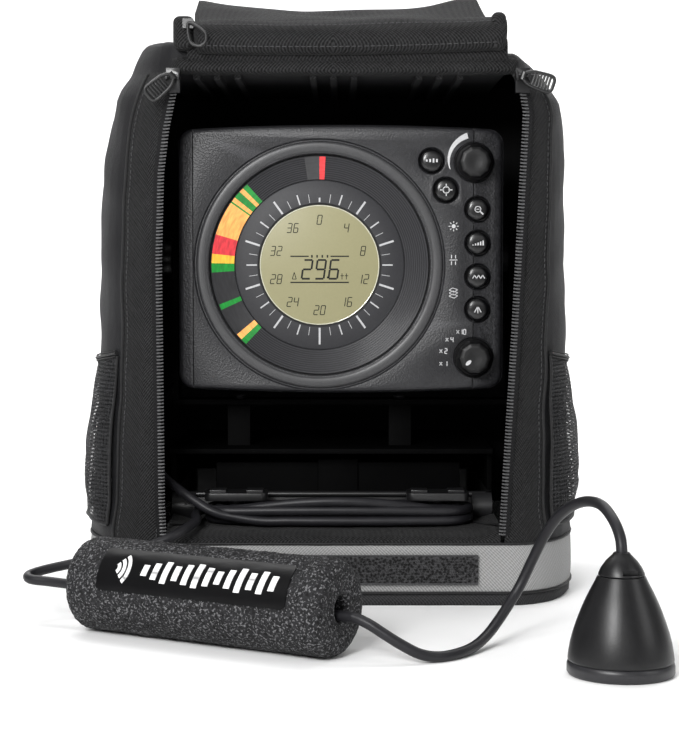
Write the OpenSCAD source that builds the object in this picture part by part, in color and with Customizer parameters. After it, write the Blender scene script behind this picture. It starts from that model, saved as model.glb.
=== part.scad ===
// Portable fish finder: a sonar head on a tilting bracket in a soft carry case,
// with its battery, cord winding, float and transducer.
// Origin: centre of the case's underside. +X right, +Y to the back, +Z up. Millimetres.

/* [Case] */
// Width of the case, without its side pockets
case_w = 286; // [270:1:300]
// Depth of the case from front to back
case_d = 200; // [190:1:210]
// Height of the case body
case_h = 318; // [312:1:326]
// Thickness of the padded walls
wall = 4; // [3:0.5:5]
// Height at which the grey band round the foot ends
band_top = 36; // [30:1:38]
// How far each side pocket stands out
pocket_out = 8; // [7.5:0.5:10]

/* [Head] */
// Width of the sonar head
head_w = 193.4; // [190:0.2:198]
// Height of the sonar head
head_h = 159.4; // [150:0.2:162]
// Y of the head's front face
face_y = -65; // [-68:0.5:-62]
// Height of the tilt axis
tilt_z = 202; // [199:1:205]
// Diameter of the two control knobs
knob_d = 23; // [20:0.5:25]
// Diameter of the round buttons
button_d = 13.5; // [12:0.5:14]

/* [Dial] */
// Radius of the groove round the dial
dial_r = 74; // [72:0.5:75]
// Outer radius of the echo window
window_r = 65; // [63:0.5:66]
// Radius of the scale plate
plate_r = 50.6; // [48:0.2:52]
// Radius of the liquid crystal display
lcd_r = 35.5; // [33:0.5:38]

/* [Line] */
// Diameter of the transducer cord
cord_d = 5.5; // [5:0.1:5.6]
// Diameter of the foam float
float_d = 50.8; // [48:0.2:52]
// Largest radius of the transducer
puck_r = 26.2; // [25:0.2:27]

/* [Hidden] */
$fn = 64;
e = 0.5;                       // how far a cutter runs past the face it cuts

// case
base_t = 7.4;
side_x = case_w / 2;
front_y = -case_d / 2;
back_y = case_d / 2;
corner_front = 30;
corner_back = 40;
shoulder_r = 35;
shoulder_z = case_h - shoulder_r;
gusset_y = -50;
rear_y = 55;
// the opening's outline, seen from the front: bottom left, bottom right, top right, top left
opening = [[-98, band_top], [99, band_top], [112, 285], [104, 318.5], [-91, 318.5]];
header_z = 309;
pocket_z = [50, 142];
pocket_y = 70;
pocket_skin = 1.5;
tape_w = 7;
tape_t = 1.5;

// zip sliders: x and z at the top of each track
slider_at = [[-91.3, 303], [107.8, 303]];
pin_y = front_y - 9.5;
pin_r = 1.2;

// flap
hinge = [front_y + 3, case_h + 9.5];
flap_x = [-84, 100];
lower_x = [-83, 95];
fold_y = 30;

// tray, battery and deck
tray_x = [-100, 97];
tray_y = [-43.5, 88];
tray_z = [8, 60];
tray_t = 3;
cleat_x = [-58, 62];
cleat_y = -66;
post_r = 5;
wind_z = [45, 56];
wind_r = post_r + 3 * cord_d;
battery_size = [151, 94, 65];
battery_at = [-73, -25, tray_z[0] + tray_t];
deck_z = 83;
deck_t = 3;
upright_x = [-59, 41];
upright_w = 14;
screw_at = [[-85, -30], [82, -30], [-85, 76], [82, 76]];

// head
head_x = [4.3 - head_w / 2, 4.3 + head_w / 2];
head_z = [121.8, 121.8 + head_h];
head_corner = 16;
shell_t = 3;
split_y = -35;
seal_t = 1;
step_y = -5;
head_back = 15;
step_in = 12;
dial = [-8.4, 198];
gain_at = [83.4, 258.7];
range_at = [83.5, 143];
button_at = [[58.1, 259.7], [66.7, 242.4], [85.5, 231], [85.7, 211], [85.7, 191], [85.7, 171.6]];
head_screw_at = [[-82, 131.5], [91, 131.5], [-82, 271.5], [91, 271.5]];
tilt_y = -15;
arm_x = [-99, 111];
arm_t = 3;
bracket_z = 112;
shank_r = 4;
socket_at = [[-50, 170], [-20, 170]];

// float and transducer
float_from = [-133, -164.3, 25.4];
float_to = [5, -246, 25.4];
float_l = norm(float_to - float_from);
float_turn = atan2(float_to[1] - float_from[1], float_to[0] - float_from[0]);
puck_at = [140, -279];

// the cord's route from the plug to the winding, and from the winding to the transducer
lead_route = [[-50, 46, 170], [-50, 58, 170], [-55, 70, 164], [-68, 77, 151], [-85, 74, 137], [-100, 62, 124],
    [-112, 42, 111], [-118, 18, 100], [-119, -8, 91], [-115, -34, 83], [-108, -54, 76], [-99, -68, 69.5],
    [-90, -77, 64], [-81, -82, 58.5], [-72, -84.5, 53.5], [-62, -84.75, 50.5]];
run_route = [[-58, -47.25, 50.5], [-72, -50, 50.5], [-80, -60, 50.5], [-82, -76, 49.8], [-80, -92, 49],
    [-83, -104, 47.5], [-91, -115.5, 43.5], [-104, -119.5, 38.5], [-120, -121, 34.5], [-136, -122, 31],
    [-152, -125, 28], [-164, -131, 26], [-170.5, -139.5, 24.6], [-168, -147, 23.6], [-158, -150.6, 23],
    [-146, -156.6, 22.6], [-133, -164.3, 22.3], [-86, -192.1, 22.1], [-40, -219.4, 21.8], [5, -246, 21.8],
    [11, -249.6, 21.7], [18, -253.1, 19.2], [26, -255.3, 14.4], [34, -256.4, 9.6], [43.5, -256.5, 4.8], [53, -253.6, 2.8],
    [63, -245.6, 2.8], [72, -233, 3.6], [80, -219.5, 7], [87, -208.5, 13], [93, -201.3, 20], [99, -197.6, 29],
    [105, -198, 42], [110.5, -202.6, 55], [116, -211.4, 66], [122, -224, 74.2], [128, -239.5, 79],
    [133.3, -255, 79.2], [137.2, -267.2, 74], [139.5, -275.6, 67], [140, -279, 60], [140, -279, 51]];

// ---------- helpers ----------
// draws along X: the outline's first axis is Y and its second is Z
module along_x(x0, x1) translate([x0, 0, 0]) rotate([90, 0, 90]) linear_extrude(x1 - x0) children();
// draws along Y: the outline's first axis is X and its second is Z
module along_y(y0, y1) translate([0, y1, 0]) rotate([90, 0, 0]) linear_extrude(y1 - y0) children();
module rod_x(y, z, r, x0, x1) translate([x0, y, z]) rotate([0, 90, 0]) cylinder(r = r, h = x1 - x0);
module rod_y(x, z, r, y0, y1) translate([x, y0, z]) rotate([-90, 0, 0]) cylinder(r = r, h = y1 - y0);
module rod_z(x, y, r, z0, z1) translate([x, y, z0]) cylinder(r = r, h = z1 - z0);
// turned about an axis along Y through [x, z]; each profile point is [radius, y]
module turned_y(at, profile) translate([at[0], 0, at[1]]) rotate([-90, 0, 0]) rotate_extrude() polygon(profile);
module block(lo, hi) translate(lo) cube(hi - lo);
// a rectangle with round corners
module round_rect(lo, hi, r) {
    translate([lo[0] + r, lo[1]]) square([hi[0] - lo[0] - 2 * r, hi[1] - lo[1]]);
    translate([lo[0], lo[1] + r]) square([hi[0] - lo[0], hi[1] - lo[1] - 2 * r]);
    for (x = [lo[0] + r, hi[0] - r], y = [lo[1] + r, hi[1] - r]) translate([x, y]) circle(r);
}
// a slot outline between two points on one level
module stadium(x0, x1, y, r) {
    translate([x0, y - r]) square([x1 - x0, 2 * r]);
    for (x = [x0, x1]) translate([x, y]) circle(r);
}

// a tube swept along a route: each ring lies square to the way the route runs there
function unit(v) = v / norm(v);
function heading(p, i) = unit(p[min(i + 1, len(p) - 1)] - p[max(i - 1, 0)]);
function side_of(t) = abs(t[2]) > 0.95 ? unit(cross(t, [0, 1, 0])) : unit(cross(t, [0, 0, 1]));
// carries the first ring's side vector along the route, so that the tube doesn't twist
function carried(p, i) = i == 0 ? side_of(heading(p, 0))
    : let (before = carried(p, i - 1), t = heading(p, i)) unit(before - t * (before * t));
module tube(p, d, sides = 10) {
    rings = [for (i = [0:len(p) - 1]) let (t = heading(p, i), u = carried(p, i), v = cross(t, u))
        for (k = [0:sides - 1]) p[i] + (u * cos(360 * k / sides) + v * sin(360 * k / sides)) * d / 2];
    walls = [for (i = [0:len(p) - 2], k = [0:sides - 1]) let (a = i * sides, b = a + sides, n = (k + 1) % sides)
        [a + k, b + k, b + n, a + n]];
    ends = [[for (k = [0:sides - 1]) k], [for (k = [sides - 1:-1:0]) (len(p) - 1) * sides + k]];
    polyhedron(points = rings, faces = concat(walls, ends));
}

// ---------- case ----------
// plan of the case, drawn in by an inset
module plan(inset) {
    x = side_x - inset;
    y0 = front_y + inset;
    y1 = back_y - inset;
    rf = corner_front - inset;
    rb = corner_back - inset;
    translate([-x, y0 + rf]) square([2 * x, y1 - y0 - rf - rb]);
    translate([-x + rf, y0]) square([2 * (x - rf), rf]);
    translate([-x + rb, y1 - rb]) square([2 * (x - rb), rb]);
    for (s = [-1, 1]) {
        translate([s * (x - rf), y0 + rf]) circle(rf);
        translate([s * (x - rb), y1 - rb]) circle(rb);
    }
}
// the case seen from the front, drawn in by an inset
module elevation(inset) {
    x = side_x - inset;
    r = shoulder_r - inset;
    translate([-x, inset - wall]) square([2 * x, shoulder_z - inset + wall]);
    translate([-x + r, shoulder_z]) square([2 * (x - r), r]);
    for (s = [-1, 1]) translate([s * (x - r), shoulder_z]) circle(r);
}
module case_form(inset) intersection() {
    translate([0, 0, -wall]) linear_extrude(case_h + wall - inset) plan(inset);
    along_y(front_y - e, back_y + e) elevation(inset);
}
module case_wall(lo, hi) intersection() {
    difference() {
        case_form(0);
        case_form(wall);
    }
    block(lo, hi);
}
module opening_cut() along_y(front_y - 5, front_y + wall + 0.1) polygon(opening);

module base_panel() color("#26262a") linear_extrude(base_t) difference() {
    plan(0);
    for (p = screw_at) translate(p) circle(2.1);
}
module trim_band() color("#b0b0ae") translate([0, 0, base_t]) linear_extrude(band_top - base_t) difference() {
    plan(0);
    plan(wall);
}
module hook_strip() color("#8d8d8c") block([-90, front_y - 1.5, 13], [84, front_y, 30]);
module back_panel() color("#1d1d20")
    case_wall([-side_x - e, rear_y, band_top], [side_x + e, back_y + e, shoulder_z]);
module side_panel(s) color("#222226") case_wall([s < 0 ? -side_x - e : side_x - wall - 1, gusset_y, band_top],
    [s < 0 ? -side_x + wall + 1 : side_x + e, rear_y, shoulder_z]);
module side_panel_left() side_panel(-1);
module side_panel_right() side_panel(1);
module top_panel() color("#1f1f23") {
    difference() {
        case_wall([-side_x - e, front_y - e, shoulder_z], [side_x + e, back_y + e, case_h + e]);
        opening_cut();
    }
    block([opening[4][0], front_y + wall - 0.5, header_z], [opening[3][0] - 1, front_y + 14, case_h - wall]);
}
module gusset(s) color("#2b2b2f") difference() {
    case_wall([s < 0 ? -side_x - e : 60, front_y - e, band_top], [s < 0 ? -60 : side_x + e, gusset_y, shoulder_z]);
    opening_cut();
}
module gusset_left() gusset(-1);
module gusset_right() gusset(1);
module front_sill() color("#28282c") along_x(-97, 97)
    polygon([[front_y, band_top], [tray_y[0] - 0.5, band_top], [tray_y[0] - 0.5, band_top + 8],
        [front_y + 10, band_top + 8], [front_y, band_top + 4]]);
module ceiling_board() color("#202024") {
    block([-100, -80, 309], [100, 80, 312]);
    for (group = [-68, 0, 62], k = [-1:1]) block([group + 12 * k - 2, -80, 306], [group + 12 * k + 2, 80, 309]);
}
// an open-topped pocket on each side: a skin with closed ends and a closed foot
module mesh_pockets() color("#18181a") for (s = [-1, 1]) difference() {
    hull_x = side_x + pocket_out;
    block([s < 0 ? -hull_x : side_x, -pocket_y, pocket_z[0]], [s < 0 ? -side_x : hull_x, pocket_y, pocket_z[1]]);
    block([s < 0 ? -hull_x + pocket_skin : side_x - e, -pocket_y + 3, pocket_z[0] + 3],
        [s < 0 ? -side_x + e : hull_x - pocket_skin, pocket_y - 3, pocket_z[1] + e]);
}
module zipper_tapes() color("#0f0f10") {
    along_y(front_y - tape_t, front_y) polygon([[-98, 40], [-98 - tape_w, 40], [-91 - tape_w, 300], [-91, 300]]);
    along_y(front_y - tape_t, front_y) polygon([[99, 40], [99 + tape_w, 40], [112 + tape_w, 285],
        [110 + tape_w, 297], [108, 297], [112, 285]]);
}
// a slider with two lugs that hold a cross pin
module slider(at) color("#3a3a3c") {
    block([at[0] - 4, front_y - 7, at[1] - 7], [at[0] + 4, front_y - 1.8, at[1] + 7]);
    for (x = [at[0] - 4, at[0] + 2.7]) block([x, pin_y - 2, at[1]], [x + 1.3, front_y - 7, at[1] + 4]);
    rod_x(pin_y, at[1] + 2, pin_r, at[0] - 3.5, at[0] + 3.5);
}
module slider_left() slider(slider_at[0]);
module slider_right() slider(slider_at[1]);
// an eye on the pin, and a long loop hanging from it
module pull(at) color("#1a1a1c") {
    z0 = at[1] + 2;
    difference() {
        union() {
            rod_x(pin_y, z0, 2.4, at[0] - 2.2, at[0] + 2.2);
            along_y(pin_y - 1.1, pin_y + 1.1) translate([at[0] - 2.2, z0 - 6]) square([4.4, 5]);
        }
        rod_x(pin_y, z0, pin_r + 0.07, at[0] - 3, at[0] + 3);
    }
    difference() {
        along_y(pin_y - 1.1, pin_y + 1.1) translate([at[0], z0]) rotate(-90) stadium(9, 23, 0, 5);
        along_y(pin_y - 2, pin_y + 2) translate([at[0], z0]) rotate(-90) stadium(9, 23, 0, 3);
    }
}
module pull_left() pull(slider_at[0]);
module pull_right() pull(slider_at[1]);
module flap_upper() color("#19191c") along_x(flap_x[0], flap_x[1])
    polygon([[hinge[0] + 0.3, hinge[1] - 9], [fold_y, hinge[1] - 9], [fold_y, hinge[1] - 0.3],
        [hinge[0] + 0.3, hinge[1] - 0.3]]);
module flap_lower() color("#19191c") along_x(lower_x[0], lower_x[1])
    polygon([[fold_y, hinge[1] + 0.4], [fold_y, 350], [24, 357], [10, 358], [-15, 351], [-50, 341],
        [-86, 338], [-98, 339], [-106, 335], [-108, 328], [-106, 321], [-100, 319.5], [-97.8, 322],
        [-97.8, hinge[1] + 0.4]]);

// ---------- tray, battery and bracket ----------
module tray() color("#17171a") difference() {
    linear_extrude_tray(0, tray_z[0]);
    translate([0, 0, tray_t]) linear_extrude_tray(tray_t, tray_z[0]);
    for (p = screw_at) rod_z(p[0], p[1], 2.1, tray_z[0] - e, tray_z[0] + tray_t + e);
}
module linear_extrude_tray(inset, z) translate([0, 0, z]) linear_extrude(tray_z[1] - tray_z[0])
    round_rect([tray_x[0] + inset, tray_y[0] + inset], [tray_x[1] - inset, tray_y[1] - inset], 8 - inset);
module tray_screws() color("#8a8a8c") for (p = screw_at) {
    rod_z(p[0], p[1], 2, 3, tray_z[0] + tray_t);
    rod_z(p[0], p[1], 4, tray_z[0] + tray_t, tray_z[0] + tray_t + 2.2);
}
module cord_cleats() color("#1a1a1d") for (x = cleat_x) {
    rod_z(x, cleat_y, post_r, band_top + 8, 58);
    translate([0, 0, 58]) linear_extrude(5) round_rect([x - 18.5, cleat_y - 11], [x + 18.5, cleat_y + 11], 4);
}
module battery() color("#3c3c40") {
    translate(battery_at) cube(battery_size);
    for (x = [8, 137]) translate(battery_at + [x, 82, battery_size[2]]) cube([6.3, 0.8, 5.5]);
}
module battery_strap() color("#101012") {
    top = battery_at[2] + battery_size[2];
    front = battery_at[1];
    rear = front + battery_size[1];
    difference() {
        block([-10, front - 2, battery_at[2]], [15, rear + 2, top + 2]);
        block([-11, front, battery_at[2] - e], [16, rear, top]);
    }
}
// the shelf over the battery, with side walls that stand on the tray and two uprights for the bracket
module deck() color("#161619") difference() {
    union() {
        block([tray_x[0], tray_y[0], deck_z], [tray_x[1], tray_y[1], deck_z + deck_t]);
        for (x = [tray_x[0], tray_x[1] - tray_t])
            block([x, tray_y[0] + 8, tray_z[1]], [x + tray_t, tray_y[1] - 8, deck_z]);
        for (x = upright_x) block([x - upright_w / 2, tilt_y - 6, deck_z + deck_t], [x + upright_w / 2, tilt_y + 6, bracket_z]);
    }
    for (x = upright_x) rod_z(x, tilt_y, 2.1, bracket_z - 12, bracket_z + e);
}
module gimbal_bracket() color("#1c1c1f") {
    difference() {
        block([arm_x[0], tilt_y - 12, bracket_z], [arm_x[1], tilt_y + 12, bracket_z + arm_t]);
        for (x = upright_x) rod_z(x, tilt_y, 2.1, bracket_z - e, bracket_z + arm_t + e);
    }
    for (x = [arm_x[0], arm_x[1] - arm_t]) difference() {
        along_x(x, x + arm_t) {
            translate([tilt_y - 12, bracket_z + arm_t]) square([24, tilt_z - bracket_z - arm_t]);
            translate([tilt_y, tilt_z]) circle(12);
        }
        rod_x(tilt_y, tilt_z, shank_r + 0.08, x - e, x + arm_t + e);
    }
}
module bracket_screws() color("#8a8a8c") for (x = upright_x) {
    rod_z(x, tilt_y, 2, bracket_z - 11, bracket_z + arm_t);
    rod_z(x, tilt_y, 3.8, bracket_z + arm_t, bracket_z + arm_t + 1.8);
}

// ---------- head ----------
module face(inset) round_rect([head_x[0] + inset, head_z[0] + inset], [head_x[1] - inset, head_z[1] - inset],
    head_corner - inset);
module front_housing() color("#505053") difference() {
    union() {
        difference() {
            along_y(face_y, split_y) face(0);
            along_y(face_y + shell_t, split_y + e) face(shell_t);
        }
        for (p = head_screw_at) rod_y(p[0], p[1], 4.5, face_y + shell_t - 0.5, split_y);
    }
    rod_y(dial[0], dial[1], dial_r, face_y - e, face_y + 2);
    rod_y(dial[0], dial[1], dial_r - 4, face_y - e, split_y);
    for (p = button_at) {
        rod_y(p[0], p[1], button_d / 2 + 0.35, face_y - e, face_y + shell_t + e);
        rod_y(p[0], p[1], button_d / 2 + 1, face_y - e, face_y + 1);
    }
    for (p = [gain_at, range_at]) rod_y(p[0], p[1], 3.08, face_y - e, face_y + shell_t + e);
    for (p = head_screw_at) rod_y(p[0], p[1], 1.6, -52, split_y + e);
}
module rear_housing() color("#4a4a4d") difference() {
    union() {
        difference() {
            union() {
                along_y(split_y + seal_t, step_y) face(0);
                along_y(step_y - 0.5, head_back) face(step_in);
            }
            along_y(split_y, step_y - shell_t) face(shell_t);
            along_y(step_y - shell_t - 0.5, head_back - shell_t) face(step_in + shell_t);
        }
        rod_x(tilt_y, tilt_z, 9, arm_x[0] + arm_t + 0.3, head_x[0] + 14);
        rod_x(tilt_y, tilt_z, 9, head_x[1] - 14, arm_x[1] - arm_t - 0.3);
        for (p = head_screw_at) rod_y(p[0], p[1], 4.5, split_y + seal_t, step_y - shell_t + 0.5);
    }
    rod_x(tilt_y, tilt_z, shank_r + 0.06, arm_x[0], head_x[0] + 12);
    rod_x(tilt_y, tilt_z, shank_r + 0.06, head_x[1] - 12, arm_x[1]);
    for (p = head_screw_at) rod_y(p[0], p[1], 1.6, split_y, step_y + e);
}
module housing_seal() color("#0e0e0f") along_y(split_y, split_y + seal_t) difference() {
    face(0);
    face(shell_t);
}
module housing_screws() color("#8a8a8c") for (p = head_screw_at) {
    rod_y(p[0], p[1], 1.5, -50, step_y);
    rod_y(p[0], p[1], 3, step_y, step_y + 2.2);
}
module dial_bezel() color("#37373a") turned_y(dial, [[window_r, face_y + 7], [window_r, face_y],
    [dial_r - 0.2, face_y], [dial_r - 0.2, face_y + 2], [dial_r - 4.2, face_y + 2], [dial_r - 4.2, face_y + 7]]);
module dial_window() color("#2a2b2e") turned_y(dial, [[plate_r + 0.1, face_y + 5.5], [window_r - 0.1, face_y + 1],
    [window_r - 0.1, face_y + 3.2], [plate_r + 0.1, face_y + 7.7]]);
module dial_plate() color("#232326") turned_y(dial, [[lcd_r + 0.1, face_y + 5.5], [plate_r, face_y + 5.5],
    [plate_r, face_y + 7.5], [lcd_r + 0.1, face_y + 7.5]]);
module lcd_panel() color("#aaa680") rod_y(dial[0], dial[1], lcd_r, face_y + 5.9, face_y + 10);
module led_disc() color("#2e2e31") {
    rod_y(dial[0], dial[1], 62, face_y + 13, face_y + 15);
    rod_y(dial[0], dial[1], 6, face_y + 15, face_y + 18);
    rod_y(dial[0], dial[1], 1.5, face_y + 18, face_y + 25);
}
module disc_motor() color("#77777a") difference() {
    rod_y(dial[0], dial[1], 14, face_y + 19, split_y + 5.5);
    rod_y(dial[0], dial[1], 1.55, face_y + 18, face_y + 26);
}
module main_board() color("#1f5a3a") along_y(split_y + 5.5, split_y + 7) difference() {
    round_rect([head_x[0] + 9, head_z[0] + 9], [head_x[1] - 9, head_z[1] - 9], 6);
    for (p = head_screw_at) translate(p) circle(5);
}
module button_pad() color("#2d2d30") along_y(face_y + 6.6, face_y + 8.4)
    polygon([[76, 162], [95, 162], [95, 240], [78, 246], [66, 252], [62, 269], [49, 269], [49, 252],
        [60, 236], [76, 228]]);
module rotary_controls() color("#5d5d60") for (p = [gain_at, range_at]) difference() {
    union() {
        rod_y(p[0], p[1], 5, face_y + shell_t, face_y + 7);
        rod_y(p[0], p[1], 8, face_y + 7, face_y + 17);
    }
    rod_y(p[0], p[1], 3.06, face_y + shell_t - e, face_y + 17 + e);
}
module rear_sockets() color("#1b1b1d") for (p = socket_at) difference() {
    rod_y(p[0], p[1], 8, head_back, head_back + 7);
    rod_y(p[0], p[1], 5, head_back + 2, head_back + 7 + e);
}
module sonar_plug() color("#19191b") difference() {
    turned_y(socket_at[0], [[0, head_back + 2.2], [4.95, head_back + 2.2], [4.95, head_back + 7],
        [8.5, head_back + 7], [8.5, head_back + 22], [5, head_back + 27], [3.8, head_back + 41], [0, head_back + 41]]);
    rod_y(socket_at[0][0], socket_at[0][1], cord_d / 2 + 0.05, lead_route[0][1], head_back + 41 + e);
}
module control_knob(at) color("#1c1c1e") turned_y(at, [[0, face_y + 15], [3, face_y + 15], [3, face_y - 1],
    [knob_d / 2, face_y - 1], [knob_d / 2, face_y - 11], [knob_d / 2 - 1.5, face_y - 13], [0, face_y - 13]]);
module gain_knob() control_knob(gain_at);
module range_knob() control_knob(range_at);
// a round cap with a flange behind the housing's wall
module button_cap(i) color("#202022") turned_y(button_at[i], [[0, face_y + 4.8], [button_d / 2 + 1.6, face_y + 4.8],
    [button_d / 2 + 1.6, face_y + 3.3], [button_d / 2, face_y + 3.3], [button_d / 2, face_y - 1.5],
    [button_d / 2 - 1, face_y - 2.5], [0, face_y - 2.5]]);
module tilt_knob(x_face, s) color("#1b1b1d") {
    rod_x(tilt_y, tilt_z, 13, min(x_face, x_face + 12 * s), max(x_face, x_face + 12 * s));
    rod_x(tilt_y, tilt_z, shank_r, min(x_face, x_face - 18 * s), max(x_face, x_face - 18 * s));
}
module tilt_knob_left() tilt_knob(arm_x[0] - 0.3, -1);
module tilt_knob_right() tilt_knob(arm_x[1] + 0.3, 1);

// ---------- cord, float and transducer ----------
module cord_lead() color("#3c3b40") tube(lead_route, cord_d);
module cord_winding() color("#3c3b40") translate([0, 0, wind_z[0]]) linear_extrude(wind_z[1] - wind_z[0]) difference() {
    stadium(cleat_x[0], cleat_x[1], cleat_y, wind_r);
    stadium(cleat_x[0], cleat_x[1], cleat_y, post_r + 0.2);
}
module cord_run() color("#3c3b40") tube(run_route, cord_d);
// lays a shape that stands on Z along the float's axis
module on_float() translate(float_from) rotate([0, 0, float_turn]) rotate([0, 90, 0]) children();
module float() color("#3a3a3d") on_float() rotate_extrude() difference() {
    union() {
        square([float_d / 2 - 6, float_l]);
        translate([0, 6]) square([float_d / 2, float_l - 12]);
        for (z = [6, float_l - 6]) translate([float_d / 2 - 6, z]) circle(6);
    }
    translate([-float_d, -e]) square([float_d + 7, float_l + 2 * e]);
}
module float_label() color("#0d0d0e") on_float() intersection() {
    difference() {
        rod_z(0, 0, float_d / 2 + 0.4, 24, 138);
        rod_z(0, 0, float_d / 2, 23, 139);
    }
    // the side that faces the front and up
    linear_extrude(float_l) polygon([[0, 0], [20, -60], [-34, -60], [-60, -22]]);
}
module transducer_face() color("#46454a") difference() {
    translate([puck_at[0], puck_at[1], 0]) cylinder(r = puck_r, h = 6.6);
    rod_z(puck_at[0], puck_at[1], 16, 2, 7);
}
module transducer_body() color("#19191b") translate([puck_at[0], puck_at[1], 0]) difference() {
    rotate_extrude() polygon([[0, 6.6], [puck_r - 0.2, 6.6], [puck_r - 1, 14], [22.4, 24], [18.4, 34],
        [14.2, 42.5], [11, 48], [0, 48]]);
    rod_z(0, 0, 14, 6, 20);
}
module transducer_cap() color("#1b1b1d") translate([puck_at[0], puck_at[1], 0]) difference() {
    rotate_extrude() polygon([[0, 48], [11, 48], [11, 54.5], [9.5, 56.8], [6.5, 58], [0, 58]]);
    rod_z(0, 0, cord_d / 2 + 0.1, 50.6, 59);
}

base_panel();
trim_band();
hook_strip();
back_panel();
side_panel_left();
side_panel_right();
top_panel();
gusset_left();
gusset_right();
front_sill();
ceiling_board();
mesh_pockets();
zipper_tapes();
slider_left();
slider_right();
pull_left();
pull_right();
flap_upper();
flap_lower();
tray();
tray_screws();
cord_cleats();
battery();
battery_strap();
deck();
gimbal_bracket();
bracket_screws();
front_housing();
rear_housing();
housing_seal();
housing_screws();
dial_bezel();
dial_window();
dial_plate();
lcd_panel();
led_disc();
disc_motor();
main_board();
button_pad();
rotary_controls();
rear_sockets();
sonar_plug();
gain_knob();
range_knob();
button_cap(0);  // button_1
button_cap(1);  // button_2
button_cap(2);  // button_3
button_cap(3);  // button_4
button_cap(4);  // button_5
button_cap(5);  // button_6
tilt_knob_left();
tilt_knob_right();
cord_lead();
cord_winding();
cord_run();
float();
float_label();
transducer_face();
transducer_body();
transducer_cap();
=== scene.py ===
import math

import bmesh
import bpy
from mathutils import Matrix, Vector, noise


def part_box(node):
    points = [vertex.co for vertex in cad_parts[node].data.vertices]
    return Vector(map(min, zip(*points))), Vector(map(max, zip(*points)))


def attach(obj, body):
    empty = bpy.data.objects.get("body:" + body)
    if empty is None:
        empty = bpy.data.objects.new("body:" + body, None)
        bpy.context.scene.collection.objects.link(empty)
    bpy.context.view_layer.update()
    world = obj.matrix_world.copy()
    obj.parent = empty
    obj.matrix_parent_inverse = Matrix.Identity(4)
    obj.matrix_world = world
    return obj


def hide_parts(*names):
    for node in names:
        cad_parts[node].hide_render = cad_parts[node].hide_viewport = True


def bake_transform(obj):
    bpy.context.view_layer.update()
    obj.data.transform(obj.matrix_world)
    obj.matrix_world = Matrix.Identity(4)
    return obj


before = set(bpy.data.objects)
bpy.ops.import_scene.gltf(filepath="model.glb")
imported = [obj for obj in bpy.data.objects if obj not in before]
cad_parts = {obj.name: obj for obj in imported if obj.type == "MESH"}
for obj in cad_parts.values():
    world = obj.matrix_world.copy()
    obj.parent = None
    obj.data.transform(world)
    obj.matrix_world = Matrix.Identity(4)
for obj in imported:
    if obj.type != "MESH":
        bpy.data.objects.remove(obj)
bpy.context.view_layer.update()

MM = 0.001
TAU = 2 * math.pi


# ---------- small helpers: everything below is in millimetres in the CAD frame ----------
def edges(node):
    """A CAD node's lowest and highest corners, in millimetres."""
    low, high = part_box(node)
    return [c / MM for c in low], [c / MM for c in high]


def centre(node):
    low, high = edges(node)
    return [(a + b) / 2 for a, b in zip(low, high)]


def mix(a, b, t):
    return a + (b - a) * t


def smooth(t):
    t = min(max(t, 0.0), 1.0)
    return t * t * (3 - 2 * t)


def steps(a, b, n):
    """n + 1 values from a to b."""
    return [a + (b - a) * i / n for i in range(n + 1)]


def along(table, x):
    """Reads a table of (x, value) rows, straight from row to row."""
    if x <= table[0][0]:
        return table[0][1]
    for (x0, v0), (x1, v1) in zip(table, table[1:]):
        if x <= x1:
            return mix(v0, v1, (x - x0) / (x1 - x0))
    return table[-1][1]


def bumpy(p, size, seed=0.0):
    """Smooth noise, about -1 to 1, whose lumps are about size millimetres."""
    return noise.noise(Vector((p[0] / size + seed, p[1] / size - seed, p[2] / size + 2 * seed)))


def curve_through(points, per=6, closed=False):
    """A Catmull-Rom curve through points, with per samples to each stretch."""
    p = [Vector(q) for q in points]
    n = len(p)
    out = []
    for i in range(n if closed else n - 1):
        a, b, c, d = (p[(i + k) % n] if closed else p[min(max(i + k, 0), n - 1)] for k in (-1, 0, 1, 2))
        for j in range(per):
            t = j / per
            out.append(0.5 * ((2 * b) + (c - a) * t + (2 * a - 5 * b + 4 * c - d) * t * t
                              + (3 * b - a - 3 * c + d) * t ** 3))
    if not closed:
        out.append(p[-1])
    return out


def slab_faces(n):
    """Faces of a slab whose front corners are 0 to n - 1, and whose back corners follow."""
    sides = [[i, n + i, n + (i + 1) % n, (i + 1) % n] for i in range(n)]
    return [list(range(n)), [n + i for i in range(n)][::-1]] + sides


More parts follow.
